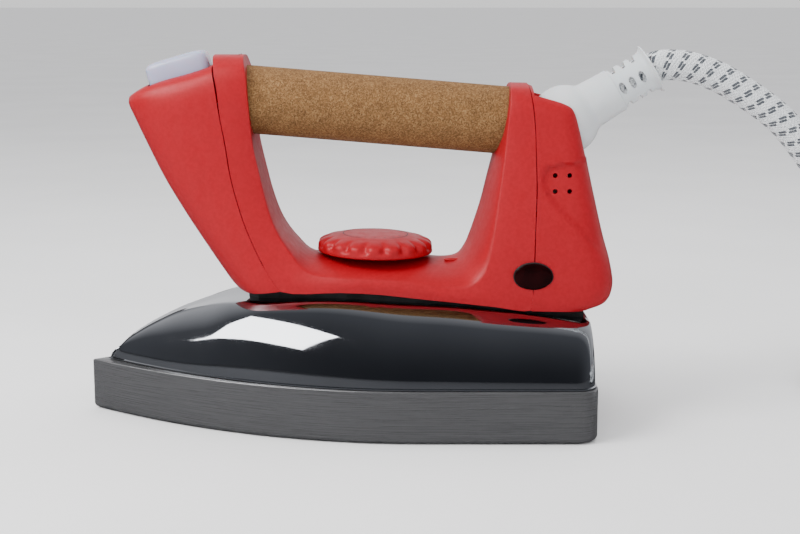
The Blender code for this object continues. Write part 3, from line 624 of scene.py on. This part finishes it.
def tube_mesh(name, path, radius, sides, mat, cells_round=0, cell_length=1.0):
    """A tube swept along a path, with a uv map named braid in cells."""
    bm = bmesh.new()
    uv = bm.loops.layers.uv.new("braid")
    side = Vector((0, 1, 0))
    rings, walked, distance = [], [], 0.0
    for index, point in enumerate(path):
        before = path[max(0, index - 1)]
        after = path[min(len(path) - 1, index + 1)]
        ahead = (after - before).normalized()
        side = (side - ahead * side.dot(ahead)).normalized()
        up = ahead.cross(side)
        ring = []
        for i in range(sides):
            turn = math.tau * i / sides
            outward = side * math.cos(turn) + up * math.sin(turn)
            ring.append(bm.verts.new(point + outward * radius))
        rings.append(ring)
        distance += (point - before).length
        walked.append(distance)
    for r in range(len(rings) - 1):
        for i in range(sides):
            j = (i + 1) % sides
            face = bm.faces.new((rings[r][i], rings[r][j], rings[r + 1][j], rings[r + 1][i]))
            places = ((i, r), (i + 1, r), (i + 1, r + 1), (i, r + 1))
            for loop, (around, ahead) in zip(face.loops, places):
                loop[uv].uv = (around / sides * cells_round, walked[ahead] / cell_length)
    bm.faces.new(rings[0])
    bm.faces.new(rings[-1])
    bmesh.ops.recalc_face_normals(bm, faces=bm.faces[:])
    return add_object(name, end_mesh(name, bm), mat, None)


# ------------------------------------------------------------------- hose

# The hose from its guard down to the coil. Known fault: near (262, -34, 33)
# it passes through the coil's top turn.
HOSE_ROUTE = ((135.2, 0, 155.67), (139.0, 0, 156.9), (145, 0, 157.0),
              (151.5, 0, 156.2), (159, 0, 154.0), (167.5, 0, 150.3),
              (176, 0, 145.2), (185, 0, 139.3), (193.5, 0, 132.5), (201.5, 0, 123.6),
              (211, -1.3, 110.8), (221, -5.0, 96.6), (232, -11.3, 80.5),
              (243, -19.0, 64.0), (254, -27.4, 47.0), (265, -35.8, 30.5),
              (276, -43.1, 18.0), (286, -48.3, 11.0), (295, -51.3, 7.8))
# Where each stretch of the coil ends: turns, radius and height. It runs one
# and a half turns low, climbs, runs on top and ends lying across the coil.
LOW, HIGH = HOSE_RADIUS, HOSE_RADIUS + HOSE_DIAMETER
COIL_PLAN = ((0.0, COIL_OUTER, LOW), (0.72, COIL_OUTER, LOW), (0.97, COIL_INNER, LOW),
             (1.45, COIL_INNER, LOW), (1.62, COIL_INNER, HIGH), (2.2, COIL_INNER, HIGH),
             (2.42, COIL_OUTER, HIGH), (2.78, COIL_OUTER, HIGH),
             (3.0, COIL_OUTER, 34.4 * MM), (3.2083, 66.0 * MM, 37.9 * MM))
FITTING_HEIGHT = 38.0 * MM
FLARE_END = BALL_CENTRE + ARM * ARM_LENGTH


def ease(t):
    return t * t * (3 - 2 * t)


def coil_point(turns):
    """Point on the coil, this many turns after the hose meets it."""
    turns = min(turns, COIL_PLAN[-1][0])
    for (t0, r0, z0), (t1, r1, z1) in zip(COIL_PLAN, COIL_PLAN[1:]):
        if turns <= t1:
            share = ease((turns - t0) / (t1 - t0))
            radius = r0 + (r1 - r0) * share
            height = z0 + (z1 - z0) * share
            break
    angle = math.tau * turns - math.pi / 2
    return COIL_CENTRE + Vector((radius * math.cos(angle), radius * math.sin(angle), height))


def fitting_point(distance):
    """Point on the straight line that the end fitting lies on."""
    turns, radius = COIL_PLAN[-1][:2]
    angle = math.tau * turns - math.pi / 2
    start = COIL_CENTRE + Vector((math.cos(angle), math.sin(angle), 0)) * radius
    heading = Vector((-math.sin(angle), math.cos(angle), 0))
    return start + heading * distance + Vector((0, 0, FITTING_HEIGHT))


def hose_path():
    lead_in = [FLARE_END - ARM * (17 * MM), FLARE_END - ARM * (7 * MM)]
    points = lead_in + [Vector(p) * MM for p in HOSE_ROUTE]
    steps = 77
    last = COIL_PLAN[-1][0]
    points += [coil_point(last * i / steps) for i in range(steps + 1)]
    points += [fitting_point(reach * MM) for reach in (7, 14, 20)]
    return catmull(points, 4)


def make_hose(union):
    path = hose_path()
    hose = tube_mesh("braided_hose", path, HOSE_RADIUS, 28, braid_look(),
                     BRAID_ROUND, BRAID_CELL)
    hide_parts("hose_tube", "hose_coil", "hose_tail")
    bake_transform(hose)


def make_hose_end(pale, brass):
    start, end = fitting_point(14.3 * MM), fitting_point(40 * MM)
    reach = (end - start).length
    bore = HOSE_RADIUS + 0.1 * MM
    ribs = []
    for i in range(5):
        z = reach - (6.5 + 2.6 * i) * MM
        r = (9.4 - 0.22 * i) * MM
        ribs += [(r, z), (r - 0.7 * MM, z - 0.4 * MM), (r - 0.7 * MM, z - 1.5 * MM),
                 (r - 0.1 * MM, z - 1.9 * MM)]
    profile = [(bore, 8 * MM), (2 * MM, 8.2 * MM), (2 * MM, reach), (10.2 * MM, reach),
               (10.8 * MM, reach - 0.6 * MM), (10.8 * MM, reach - 2.8 * MM),
               (10.4 * MM, reach - 3.4 * MM), (9.6 * MM, reach - 4.2 * MM),
               *ribs, (7.8 * MM, 0.4 * MM), (7.5 * MM, 0), (bore, 0)]
    boot = turned("hose_end_boot", profile, along(start, end), pale, "iron")
    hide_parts("hose_boot")
    start, end = fitting_point(40.3 * MM), fitting_point(58 * MM)
    reach = (end - start).length
    pipe = [(1.9 * MM, reach - 6 * MM), (1.9 * MM, reach), (3.4 * MM, reach),
            (4 * MM, reach - 0.6 * MM)]
    for i in range(6):
        z = reach - (1.4 + 1.2 * i) * MM
        pipe += [(4 * MM, z), (3.5 * MM, z - 0.6 * MM)]
    pipe += [(4.6 * MM, 8.9 * MM), (6.4 * MM, 8.9 * MM), (6.4 * MM, 0), (1.9 * MM, 0)]
    core = turned("union_thread", pipe, along(start, end), brass, "iron")
    nut = turned("union_nut", [(6.5 * MM, 8.6 * MM), (7.3 * MM, 8.6 * MM), (8 * MM, 8.0 * MM),
                               (8 * MM, 0.6 * MM), (7.3 * MM, 0), (6.5 * MM, 0)],
                 along(start, end), brass, "iron", 6)
    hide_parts("steam_union")
    return [boot, nut, core]


# --------------------------------------------------------- sole and cover

STATIONS = [(i / 56) ** 1.6 for i in range(57)]
CREASE_HEIGHT = [(-109, 25), (-102, 32), (-95, 37), (-87, 41.5), (-77, 46.2),
                 (-65, 50), (-52, 53), (-20, 55.8), (0, 56.4), (23, 55.2),
                 (45, 54), (66, 52), (88, 49.7), (105, 47.3)]
CREASE_WIDTH = [(-109, 2.4), (-95, 5.2), (-77, 7.4), (-65, 12), (-52, 20),
                (-38, 27), (-20, 32), (0, 34), (45, 34.5), (66, 35.5), (105, 40)]


def smooth_value(table, x):
    """Value at x on a smooth curve through (x, value) pairs."""
    if x <= table[0][0]:
        return table[0][1]
    if x >= table[-1][0]:
        return table[-1][1]
    slopes = []
    for i in range(len(table)):
        a = table[max(0, i - 1)]
        b = table[min(len(table) - 1, i + 1)]
        slopes.append((b[1] - a[1]) / (b[0] - a[0]))
    for i in range(len(table) - 1):
        (x0, v0), (x1, v1) = table[i], table[i + 1]
        if x <= x1:
            t = (x - x0) / (x1 - x0)
            span = x1 - x0
            return ((2 * t ** 3 - 3 * t * t + 1) * v0 + (t ** 3 - 2 * t * t + t) * span * slopes[i]
                    + (3 * t * t - 2 * t ** 3) * v1 + (t ** 3 - t * t) * span * slopes[i + 1])


def crease_height(x):
    return smooth_value(CREASE_HEIGHT, x / MM) * MM


def crease_width(x):
    return smooth_value(CREASE_WIDTH, x / MM) * MM


def half_ring(front, rear, half_width_at, height_at, corner=HEEL_CORNER):
    shoulder = rear - corner
    points = []
    for f in STATIONS:
        x = front + (shoulder - front) * f
        points.append(Vector((x, -half_width_at(x) if f else 0.0, height_at(x))))
    width = half_width_at(shoulder)
    for i in range(1, 9):
        turn = math.radians(90 * i / 8)
        x = shoulder + corner * math.sin(turn)
        points.append(Vector((x, -(width - corner * (1 - math.cos(turn))), height_at(x))))
    for share in (0.66, 0.33, 0.0):
        points.append(Vector((rear, -(width - corner) * share, height_at(rear))))
    return points


def sole_ring(inset, height, tip_inset=None):
    """The sole's outline, drawn in by one distance, or by another at the tip."""
    front = TIP_X + (inset if tip_inset is None else tip_inset) * 1.25
    width = SOLE_HALF_WIDTH - inset

    def half_width_at(x):
        s = min(1.0, (x - front) / (WIDEST_X - front))
        return width * (1 - (1 - s) ** 2)

    return half_ring(front, HEEL_X - inset, half_width_at, lambda x: height)


def make_sole(mat):
    rings = [sole_ring(RECESS_INSET, 7 * MM),
             sole_ring(RECESS_INSET, SOLE_HEIGHT)]
    for i in range(5):
        turn = math.radians(90 * i / 4)
        rings.append(sole_ring(SOLE_EDGE * (1 - math.sin(turn)),
                               SOLE_HEIGHT - SOLE_EDGE * (1 - math.cos(turn))))
    for i in range(7):
        turn = math.radians(90 * i / 6)
        rings.append(sole_ring(SOLE_FOOT * (1 - math.cos(turn)), SOLE_FOOT * (1 - math.sin(turn))))
    bm = bmesh.new()
    grid(bm, rings, capped=True)
    obj = add_object("iron_sole", mesh_of("iron_sole", bm), mat, None)
    add_mirror(obj, WELD)
    cutters = []
    places = [(-84, 0)]
    for x, y in ((-66, 12), (-46, 19), (-26, 25), (-4, 29)):
        places += [(x, y), (x, -y)]
    for x, y in places:
        cutters.append(rod_cutter(Vector((x, y, -2)) * MM, Vector((x, y, 9)) * MM, STEAM_HOLE))
    cut(obj, cutters)
    obj.data.set_sharp_from_angle(angle=math.radians(30))
    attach(obj, "iron")
    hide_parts("soleplate")


def make_cover(mat):
    foot = SOLE_HEIGHT + 0.3 * MM
    out = 0.6 * MM
    lip = sole_ring(LIP_INSET, foot, TIP_LIP_INSET)
    bead = sole_ring(LIP_INSET - out, foot, TIP_LIP_INSET - out)
    bead_top = sole_ring(LIP_INSET - out, foot + 0.5 * MM, TIP_LIP_INSET - out)
    step = sole_ring(LIP_INSET, foot + 0.8 * MM, TIP_LIP_INSET)
    crease = half_ring(-109 * MM, 106.0 * MM, crease_width, crease_height, 7 * MM)
    last = math.radians(68)
    rings = [bead, bead_top, step]
    levels = 22
    for i in range(2, levels + 1):
        turn = last * i / levels
        out = (1 - math.cos(turn)) / (1 - math.cos(last))
        up = math.sin(turn) / math.sin(last)
        rings.append([Vector((a.x + (b.x - a.x) * out, a.y + (b.y - a.y) * out,
                              max(a.z + (b.z - a.z) * up, foot + 0.9 * MM)))
                      for a, b in zip(lip, crease)])
    spine_end = crease[-1].x - 12 * MM
    rounding = [p + Vector((0, 0, 0.35 * MM)) for p in crease]
    for share in (0.05, 0.2, 0.45, 0.7, 1.0):
        ring = []
        for p in rounding:
            spine = Vector((min(p.x, spine_end), 0, crease_height(min(p.x, spine_end))))
            ring.append(p.lerp(spine, share))
        rings.append(ring)
    cover = shell("metal_cover", rings, mat, COVER_SHEET)
    cover.data.set_sharp_from_angle(angle=math.radians(28))
    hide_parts("chrome_cover")


# ---------------------------------------------------------------- housing

# Each row of the U-shaped frame: the outer edge (a seam or the lower edge),
# the ridge, and the inner face's middle, as x, z and half width in mm.
FRAME_ROWS = [
    ((-58.7, 161.7, 0), (-45.6, 161.7, 0), (-45.6, 161.7)),
    ((-58.6, 161.0, 8.5), (-45.4, 161.0, 8.5), (-45.4, 161.0)),
    ((-58.2, 158.6, 13.4), (-44.9, 158.6, 13.4), (-44.9, 158.6)),
    ((-57.6, 154.0, 16.9), (-43.9, 154.0, 16.6), (-43.9, 154.0)),
    ((-56.2, 146.6, 18.6), (-43.1, 145.0, 18.0), (-43.1, 145.0)),
    ((-54.8, 134.5, 19.3), (-42.1, 134.0, 18.2), (-42.4, 133.0)),
    ((-52.7, 123.5, 19.9), (-41.0, 123.5, 18.4), (-41.3, 122.5)),
    ((-50.7, 110.1, 20.6), (-38.4, 111.0, 18.9), (-38.2, 110.5)),
    ((-47.6, 97.7, 21.6), (-35.6, 98.5, 19.9), (-34.1, 98.0)),
    ((-43.4, 85.4, 23.0), (-31.8, 87.0, 21.6), (-28.9, 86.0)),
    ((-36.9, 71.5, 25.0), (-25.0, 76.0, 24.0), (-22.8, 78.6)),
    ((-29.0, 59.7, 27.0), (-16.5, 67.4, 27.0), (-16.0, 73.2)),
    ((-3.0, 59.9, 30.5), (-1.0, 65.4, 29.8), (-3.0, 72.8)),
    ((13.7, 59.3, 31.3), (12.0, 64.9, 30.5), (12.0, 72.4)),
    ((30.4, 57.6, 31.8), (29.7, 63.5, 30.8), (29.0, 71.8)),
    ((47.3, 55.9, 32.2), (42.0, 61.4, 31.0), (41.0, 70.7)),
    ((64.0, 54.1, 32.4), (53.0, 61.8, 30.8), (48.6, 72.0)),
    ((80.0, 52.5, 32.5), (59.5, 66.5, 30.0), (52.4, 76.8)),
    ((81.1, 60.8, 31.6), (62.3, 73.5, 28.6), (54.6, 82.0)),
    ((81.6, 78.9, 29.4), (64.6, 85.0, 26.8), (57.0, 89.0)),
    ((82.2, 95.8, 26.8), (66.3, 97.5, 24.6), (59.6, 97.5)),
    ((82.4, 107.0, 24.8), (67.6, 107.5, 23.0), (62.0, 107.5)),
    ((82.1, 120.0, 22.6), (69.2, 120.4, 21.0), (65.2, 120.0)),
    ((81.8, 130.0, 20.8), (70.0, 130.0, 19.6), (67.8, 129.5)),
    ((80.9, 139.5, 19.2), (70.9, 139.5, 18.5), (70.3, 139.0)),
    ((80.0, 145.5, 15.9), (71.4, 146.0, 15.6), (71.4, 146.0)),
    ((79.7, 148.0, 10.4), (71.8, 148.3, 10.2), (71.8, 148.3)),
    ((79.5, 149.2, 0), (72.2, 149.4, 0), (72.2, 149.4)),
]

# Each row of a cover: its seam edge (x, z, half width) and its outer middle.
FRONT_ROWS = [
    ((-59.0, 157.4, 0), (-96.9, 143.4)), ((-58.9, 157.1, 9.0), (-97.2, 143.0)),
    ((-58.7, 156.0, 13.5), (-97.5, 141.8)), ((-58.2, 153.0, 16.6), (-97.3, 139.5)),
    ((-57.0, 147.0, 18.4), (-95.2, 134.8)), ((-55.4, 136.0, 19.2), (-89.8, 123.0)),
    ((-53.2, 124.0, 19.9), (-82.4, 107.5)), ((-51.1, 110.4, 20.6), (-74.6, 94.0)),
    ((-48.0, 98.0, 21.6), (-67.5, 82.8)), ((-43.8, 85.6, 23.0), (-60.2, 71.8)),
    ((-37.3, 71.7, 25.0), (-53.2, 61.8)), ((-31.6, 62.6, 26.6), (-50.0, 58.6)),
    ((-29.4, 59.7, 27.0), (-48.0, 57.4)),
]
REAR_ROWS = [
    ((80.4, 52.2, 32.5), (108.5, 51.6)), ((80.6, 55.5, 32.3), (115.8, 54.5)),
    ((81.4, 61.0, 31.6), (118.3, 61.5)), ((81.8, 70.0, 30.5), (116.9, 71.0)),
    ((82.1, 84.0, 28.7), (113.4, 84.0)), ((82.6, 97.0, 26.6), (110.3, 97.0)),
    ((82.8, 107.0, 24.8), (108.0, 107.0)), ((82.4, 119.0, 22.7), (105.5, 118.5)),
    ((82.1, 130.0, 20.8), (103.2, 129.5)), ((81.3, 139.0, 19.3), (101.6, 136.5)),
    ((80.5, 144.4, 16.5), (100.9, 139.2)), ((80.2, 147.0, 11.0), (100.3, 140.6)),
    ((80.0, 148.6, 0), (99.9, 141.4)),
]


def frame_row(edge, ridge, middle):
    """Half a section of the frame, from its outer edge over the ridge inwards."""
    points = [Vector((edge[0], -edge[2], edge[1]))]
    points.append(Vector(((edge[0] + ridge[0]) / 2,
                          -(edge[2] + ridge[2]) / 2 - (0.3 if ridge[2] else 0),
                          (edge[1] + ridge[1]) / 2)))
    corner = Vector((ridge[0], -ridge[2], ridge[1]))
    points.append(corner.lerp(points[1], 0.16))
    for share in (0.965, 0.78, 0.52, 0.26, 0.0):
        inward = (1 - share ** 1.5) ** (1 / 1.5)
        points.append(Vector((ridge[0] + (middle[0] - ridge[0]) * inward,
                              -ridge[2] * share,
                              ridge[1] + (middle[1] - ridge[1]) * inward)))
    return [p * MM for p in points]


def cover_row(edge, outer, power, root, bump=0.0):
    """Half a section of a cover, from its seam round to its outer middle."""
    points = []
    for i in range(25):
        t = math.sin(math.pi / 2 * i / 24)
        rise = bump * math.sin(math.pi * t * t)
        width = edge[2] * (1 - t ** power) ** (1 / root)
        points.append(Vector((edge[0] + (outer[0] - edge[0]) * t, -width,
                              edge[1] + (outer[1] - edge[1]) * t + rise)))
    return [p * MM for p in points]


def level(rows):
    """Keep the end rows that lie in the middle plane there, and none past it."""
    for row in (rows[0], rows[-1]):
        if all(abs(p.y) < 0.0005 for p in row):
            for p in row:
                p.y = 0.0
    for row in rows:
        for p in row:
            p.y = min(p.y, 0.0)
    return rows


def make_frame_shell(mat):
    rows = level(stacked([catmull(frame_row(*row), 4) for row in FRAME_ROWS], 4))
    body = shell("housing_frame", rows, mat, SHELL)
    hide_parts("handle_frame")


def button_frame():
    return Matrix.Translation(BUTTON_CENTRE) @ Matrix.Rotation(-BUTTON_SLOPE, 4, "Y")


def make_front_shell(mat):
    bumps = [2.0, 2.0, 1.8, 1.2, 0.5] + [0.0] * (len(FRONT_ROWS) - 5)
    rows = [cover_row(e, o, 3.0, 2.2, b) for (e, o), b in zip(FRONT_ROWS, bumps)]
    middle = (BUTTON_REAR - BUTTON_FRONT) / 2
    size = Vector((BUTTON_FRONT + BUTTON_REAR + 0.5 * MM,
                   2 * BUTTON_HALF_WIDTH + 0.5 * MM, 14 * MM))
    slot_place = button_frame() @ Matrix.Translation((middle, 0, 0))
    cover = shell("housing_front", level(stacked(rows, 5)), mat, SHELL,
                  [box_cutter(size, slot_place)])
    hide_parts("front_cover")


def soft_min(a, b, reach=4.0):
    h = max(reach - abs(a - b), 0.0) / reach
    return min(a, b) - h * h * reach / 4


def recess_depth(point):
    """How far the panel with the vent holes sinks below the side, in metres."""
    x, z = point.x / MM, point.z / MM
    below_top = 115.2 + 0.14 * (x - 91.6) - z
    above_fold = (x - 87.5) * 0.726 + (z - 100.5) * 0.689
    inside = soft_min(soft_min(below_top, above_fold), x - 85.2)
    share = max(0.0, min(1.0, inside / 0.9))
    fade = max(0.0, min(1.0, (z - 72.0) / 10.0))
    return PANEL_DEPTH * ease(share) * ease(fade)


def make_rear_shell(mat):
    rows = level(stacked([cover_row(e, o, 6.0, 3.5) for e, o in REAR_ROWS], 9))
    for row in rows:
        for p in row:
            if p.y < -4 * MM:
                p.y += recess_depth(p)
    cutters = [box_cutter(Vector((50, 31.8, 50)) * MM,
                          Matrix.Translation(Vector((106.6, 0, 142.0)) * MM))]
    for side in (-1, 1):
        for x in (90.6, 96.9):
            for z in (103.5, 110.3):
                cutters.append(rod_cutter(Vector((x, side * 12, z)) * MM,
                                          Vector((x, side * 32, z)) * MM, VENT_HOLE))
    cover = shell("housing_rear", rows, mat, SHELL, cutters)
    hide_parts("rear_cover")


# ------------------------------------------------------ grip, dial, button

def make_cork(mat):
    length = (GRIP_RIGHT - GRIP_LEFT).length
    steps = 40
    profile = [(GRIP_BORE, 0.0), (GRIP_BORE, length)]
    profile += [(GRIP_RADIUS - GRIP_EDGE, length), (GRIP_RADIUS, length - GRIP_EDGE)]
    for i in range(steps, -1, -1):
        profile.append((GRIP_RADIUS, GRIP_EDGE + (length - 1.0 * MM) * i / steps))
    profile.append((GRIP_RADIUS - GRIP_EDGE, 0.0))
    cork = turned("cork_sleeve", profile, along(GRIP_LEFT, GRIP_RIGHT), mat, "iron", 72)
    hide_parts("cork_grip")


def dial_frame():
    return Matrix.Translation(KNOB_CENTRE) @ Matrix.Rotation(KNOB_TILT, 4, "Y")


def knob_radius(angle, height):
    """Rim radius: full at the foot, with scallops that deepen upwards."""
    wave = 0.5 + 0.5 * math.cos(SCALLOPS * angle)
    notch = wave ** 2.2
    share = max(0.0, min(1.0, (height - 1.6 * MM) / (2.2 * MM)))
    return KNOB_RADIUS - SCALLOP_DEPTH * notch * ease(share)


def make_knob(mat, ink):
    steps = SCALLOPS * 14
    levels = [(0.0, 24.8), (0.25, 25.6), (0.7, 25.9), (1.4, 25.9), (1.9, 25.9), (2.4, 25.9),
              (2.9, 25.9), (3.4, 25.9), (3.9, 25.85), (4.4, 25.7), (4.9, 25.4),
              (5.4, 24.9), (5.9, 24.1), (6.4, 22.9), (6.8, 21.6), (7.1, 20.2),
              (7.35, 18.8), (7.6, 17.6), (7.9, 16.4), (8.1, 14.0), (8.25, 11.0),
              (8.34, 7.0), (8.4, 3.5)]
    bm = bmesh.new()
    rows = []
    for height, radius in levels:
        row = []
        for i in range(steps):
            angle = math.tau * i / steps
            sunk = KNOB_RADIUS - knob_radius(angle, height * MM)
            fade = max(0.0, min(1.0, (radius - 18.6) / 5.0))
            r = radius * MM - sunk * ease(fade)
            row.append(Vector((r * math.cos(angle), r * math.sin(angle), height * MM)))
        rows.append(row)
    grid(bm, rows, closed=True, capped=True)
    knob = add_object("dial_knob", mesh_of("dial_knob", bm), mat, "dial", dial_frame(), 40)
    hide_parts("thermostat_knob")
    for index, (start, end) in enumerate(((-65, 65), (75, 245))):
        arc_line(f"dial_print_{index}", 14.6 * MM, start, end, ink)
    for index in range(7):
        dot_print(index, ink)


def top_height(radius):
    return (KNOB_HEIGHT - 0.35 * (radius / (15 * MM)) ** 2) * MM


def arc_line(name, radius, start, end, ink):
    """A thin printed line on the dial's top."""
    bm = bmesh.new()
    rows = [[], []]
    for i in range(49):
        angle = math.radians(start + (end - start) * i / 48)
        for row, r in zip(rows, (radius - 0.18 * MM, radius + 0.18 * MM)):
            row.append(Vector((r * math.cos(angle), r * math.sin(angle),
                               top_height(r) + PRINT_RAISE)))
    grid(bm, rows)
    line = add_object(name, mesh_of(name, bm), ink, "dial", dial_frame())


def dot_print(index, ink):
    """One of the dial's steps, printed as a row of widening dots."""
    bm = bmesh.new()
    angle = math.radians(-150 + 20 * index)
    r = 12.6 * MM
    place = Matrix.Translation((r * math.cos(angle), r * math.sin(angle),
                                top_height(r) + PRINT_RAISE))
    bmesh.ops.create_circle(bm, cap_ends=True, segments=16,
                            radius=(0.3 + 0.06 * index) * MM, matrix=place)
    name = f"dial_dot_{index}"
    dot = add_object(name, mesh_of(name, bm), ink, "dial", dial_frame())


def pillow(name, half, matrix, mat, body, power):
    """A rounded block: the superellipsoid with these half sizes."""
    bm = bmesh.new()
    bmesh.ops.create_icosphere(bm, subdivisions=5, radius=1.0)
    for vert in bm.verts:
        d = vert.co
        size = sum(abs(v) ** power for v in d) ** (1 / power)
        vert.co = Vector((d.x * half[0], d.y * half[1], d.z * half[2])) / size
    return add_object(name, mesh_of(name, bm), mat, body, matrix, 60)


def make_button(mat):
    middle = (BUTTON_REAR - BUTTON_FRONT) / 2
    place = button_frame() @ Matrix.Translation((middle, 0, (BUTTON_RISE - BUTTON_DEPTH) / 2))
    half = ((BUTTON_FRONT + BUTTON_REAR) / 2, BUTTON_HALF_WIDTH,
            (BUTTON_RISE + BUTTON_DEPTH) / 2)
    button = pillow("steam_push", half, place, mat, "button", 5.5)
    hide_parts("steam_button")


def make_spring(mat):
    """The return spring under the button, copied from its CAD node and fixed to the iron."""
    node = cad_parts["button_spring"]
    spring = add_object("return_spring", node.data.copy(), None, None,
                        node.matrix_world.copy())
    spring.data.materials.clear()
    spring.data.materials.append(mat)
    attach(spring, "iron")
    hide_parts("button_spring")
    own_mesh(spring)


def oval(half_length, half_height, out):
    """A ring of points round the lens's middle, this far out in mm."""
    turns = [math.tau * i / 48 for i in range(48)]
    return [LENS_CENTRE + Vector((half_length * math.cos(turn), LENS_SEAT - out * MM,
                                  half_height * math.sin(turn))) for turn in turns]


def make_lens(mat, dark):
    bm = bmesh.new()
    half_length, half_height = LENS_LENGTH / 2, LENS_HEIGHT / 2
    rows = []
    for share, out in ((1.0, 0.0), (1.0, 1.9), (0.985, 2.15), (0.95, 2.3), (0.8, 2.45),
                       (0.55, 2.58), (0.3, 2.66), (0.1, 2.7)):
        rows.append(oval(half_length * share, half_height * share, out))
    grid(bm, rows, closed=True, capped=True)
    lens = add_object("lamp_lens", mesh_of("lamp_lens", bm), mat, "iron")
    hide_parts("pilot_lens")
    ring = bmesh.new()
    rows = []
    for wide, out in ((0.4, -1.0), (0.4, 1.55), (0.25, 1.75), (0.0, 1.75), (0.0, -1.0)):
        rows.append(oval(half_length + wide * MM, half_height + wide * MM, out))
    grid(ring, rows + rows[:1], closed=True)
    bezel = add_object("lamp_bezel", mesh_of("lamp_bezel", ring), dark, "iron")


def make_index(mat):
    """Small raised mark beside the dial, which the dial is read against."""
    place = Matrix.Translation(Vector((46.6, -7.0, 70.6)) * MM)
    mark = pillow("dial_mark", (3.6 * MM, 1.6 * MM, 0.9 * MM), place, mat, "iron", 2.4)


# ------------------------------------------------------------------ guard

def guard_profile():
    """Outside from the flare down to the ball, then up through the bore."""
    end = ARM_LENGTH / MM
    profile = [(7.1, end), (10.9, end), (11.5, end - 0.25), (11.35, end - 0.8)]
    for i in range(1, 8):
        t = i / 7
        profile.append((11.35 - 2.15 * math.sin(math.pi / 2 * t) ** 0.9,
                        end - 0.8 - 3.0 * t ** 1.4))
    profile += [(9.2, 38.5), (9.25, 34.0), (9.3, 30.0), (9.35, 26.6), (9.6, 26.1),
                (10.05, 25.9), (10.25, 19.0), (10.6, 12.6), (10.75, 11.9), (11.0, 11.5)]
    ball = BALL_RADIUS / MM
    start = math.asin(11.2 / ball)
    for i in range(25):
        turn = start + (math.pi - 0.35 - start) * i / 24
        profile.append((ball * math.sin(turn), ball * math.cos(turn)))
    profile += [(5.0, -13.0), (5.0, 24.0), (7.1, 25.6)]
    return [(r * MM, z * MM) for r, z in profile]


def make_guard(mat):
    place = along(BALL_CENTRE, BALL_CENTRE + ARM)
    guard = turned("hose_guard", guard_profile(), place, mat, None, 96)
    across = Vector((0, 1, 0))
    upward = ARM.cross(across)
    cutters = []
    for reach in SLOT_PLACES:
        centre = BALL_CENTRE + ARM * reach
        for direction, other, half in ((across, upward, SIDE_SLOT), (-across, upward, SIDE_SLOT),
                                       (upward, across, TOP_SLOT), (-upward, across, TOP_SLOT)):
            cutters.append(slot_cutter(centre, direction, other, half))
    cut(guard, cutters)
    guard.data.set_sharp_from_angle(angle=math.radians(35))
    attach(guard, "guard")
    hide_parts("cord_guard")


def slot_cutter(centre, direction, long_way, half):
    """An oval hole through one side of the sleeve."""
    bm = bmesh.new()
    bmesh.ops.create_cone(bm, cap_ends=True, segments=28, radius1=1.0,
                          radius2=1.0, depth=7 * MM)
    bmesh.ops.scale(bm, vec=(half, SLOT_HALF_WIDTH, 1), verts=bm.verts)
    turn = Matrix((long_way, direction.cross(long_way), direction)).transposed().to_4x4()
    bm.transform(Matrix.Translation(centre + direction * (10.4 * MM)) @ turn)
    return add_object("cutter", mesh_of("cutter", bm), None, None)


# ------------------------------------------------------ hidden CAD pieces

def dress(material, *names):
    """Give CAD nodes that keep their own shape a better material."""
    for name in names:
        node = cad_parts[name]
        node.data.materials.clear()
        node.data.materials.append(material)


def dress_hidden(dark, brass):
    steel = metal_look("plain_steel", (0.50, 0.50, 0.51), (0.60, 0.60, 0.61), 0.32)
    cast = metal_look("cast_inside", (0.42, 0.42, 0.42), (0.55, 0.55, 0.55), 0.5)
    pale = plain_look("ceramic_body", (0.72, 0.70, 0.64), (0.80, 0.78, 0.72), 0.6)
    soft = plain_look("soft_tube", (0.74, 0.74, 0.72), (0.80, 0.80, 0.78), 0.5)
    lamp = plain_look("lamp_bulb", (0.80, 0.35, 0.18), (0.90, 0.45, 0.25), 0.15)
    plunger = plain_look("plunger_red", (0.60, 0.06, 0.05), (0.72, 0.08, 0.06), 0.4)
    dress(dark, "spacer", "microswitch_body", "switch_bracket", "guard_saddle")
    dress(steel, "heating_element", "grip_core", "grip_washer", "grip_nut",
          "thermostat_shaft", "housing_bolt_front", "housing_bolt_rear")
    make_spring(steel)
    dress(cast, "steam_chamber_cover")
    dress(pale, "thermostat_body", "thermal_fuse", "terminal_block")
    dress(soft, "steam_tube", "switch_leads", "heater_lead_near", "heater_lead_far")
    dress(lamp, "pilot_lamp")
    dress(plunger, "microswitch_plunger")
    dress(brass, "steam_inlet_nipple")


# ------------------------------------------------------------------- main


def build():
    make_camera()
    make_world()
    make_lights()
    make_floor()
    red = red_look()
    dark = dark_look()
    pale = pale_look()
    brass = metal_look("brass_fitting", (0.62, 0.44, 0.17), (0.74, 0.54, 0.24), 0.28)
    make_hose(make_hose_end(pale, brass))
    make_sole(sole_look())
    make_cover(chrome_look())
    make_frame_shell(red)
    make_front_shell(red)
    make_rear_shell(red)
    make_cork(cork_look())
    make_knob(red, dark)
    make_index(red)
    make_button(button_look())
    make_lens(lens_look(), dark)
    make_guard(pale)
    dress_hidden(dark, brass)


build()
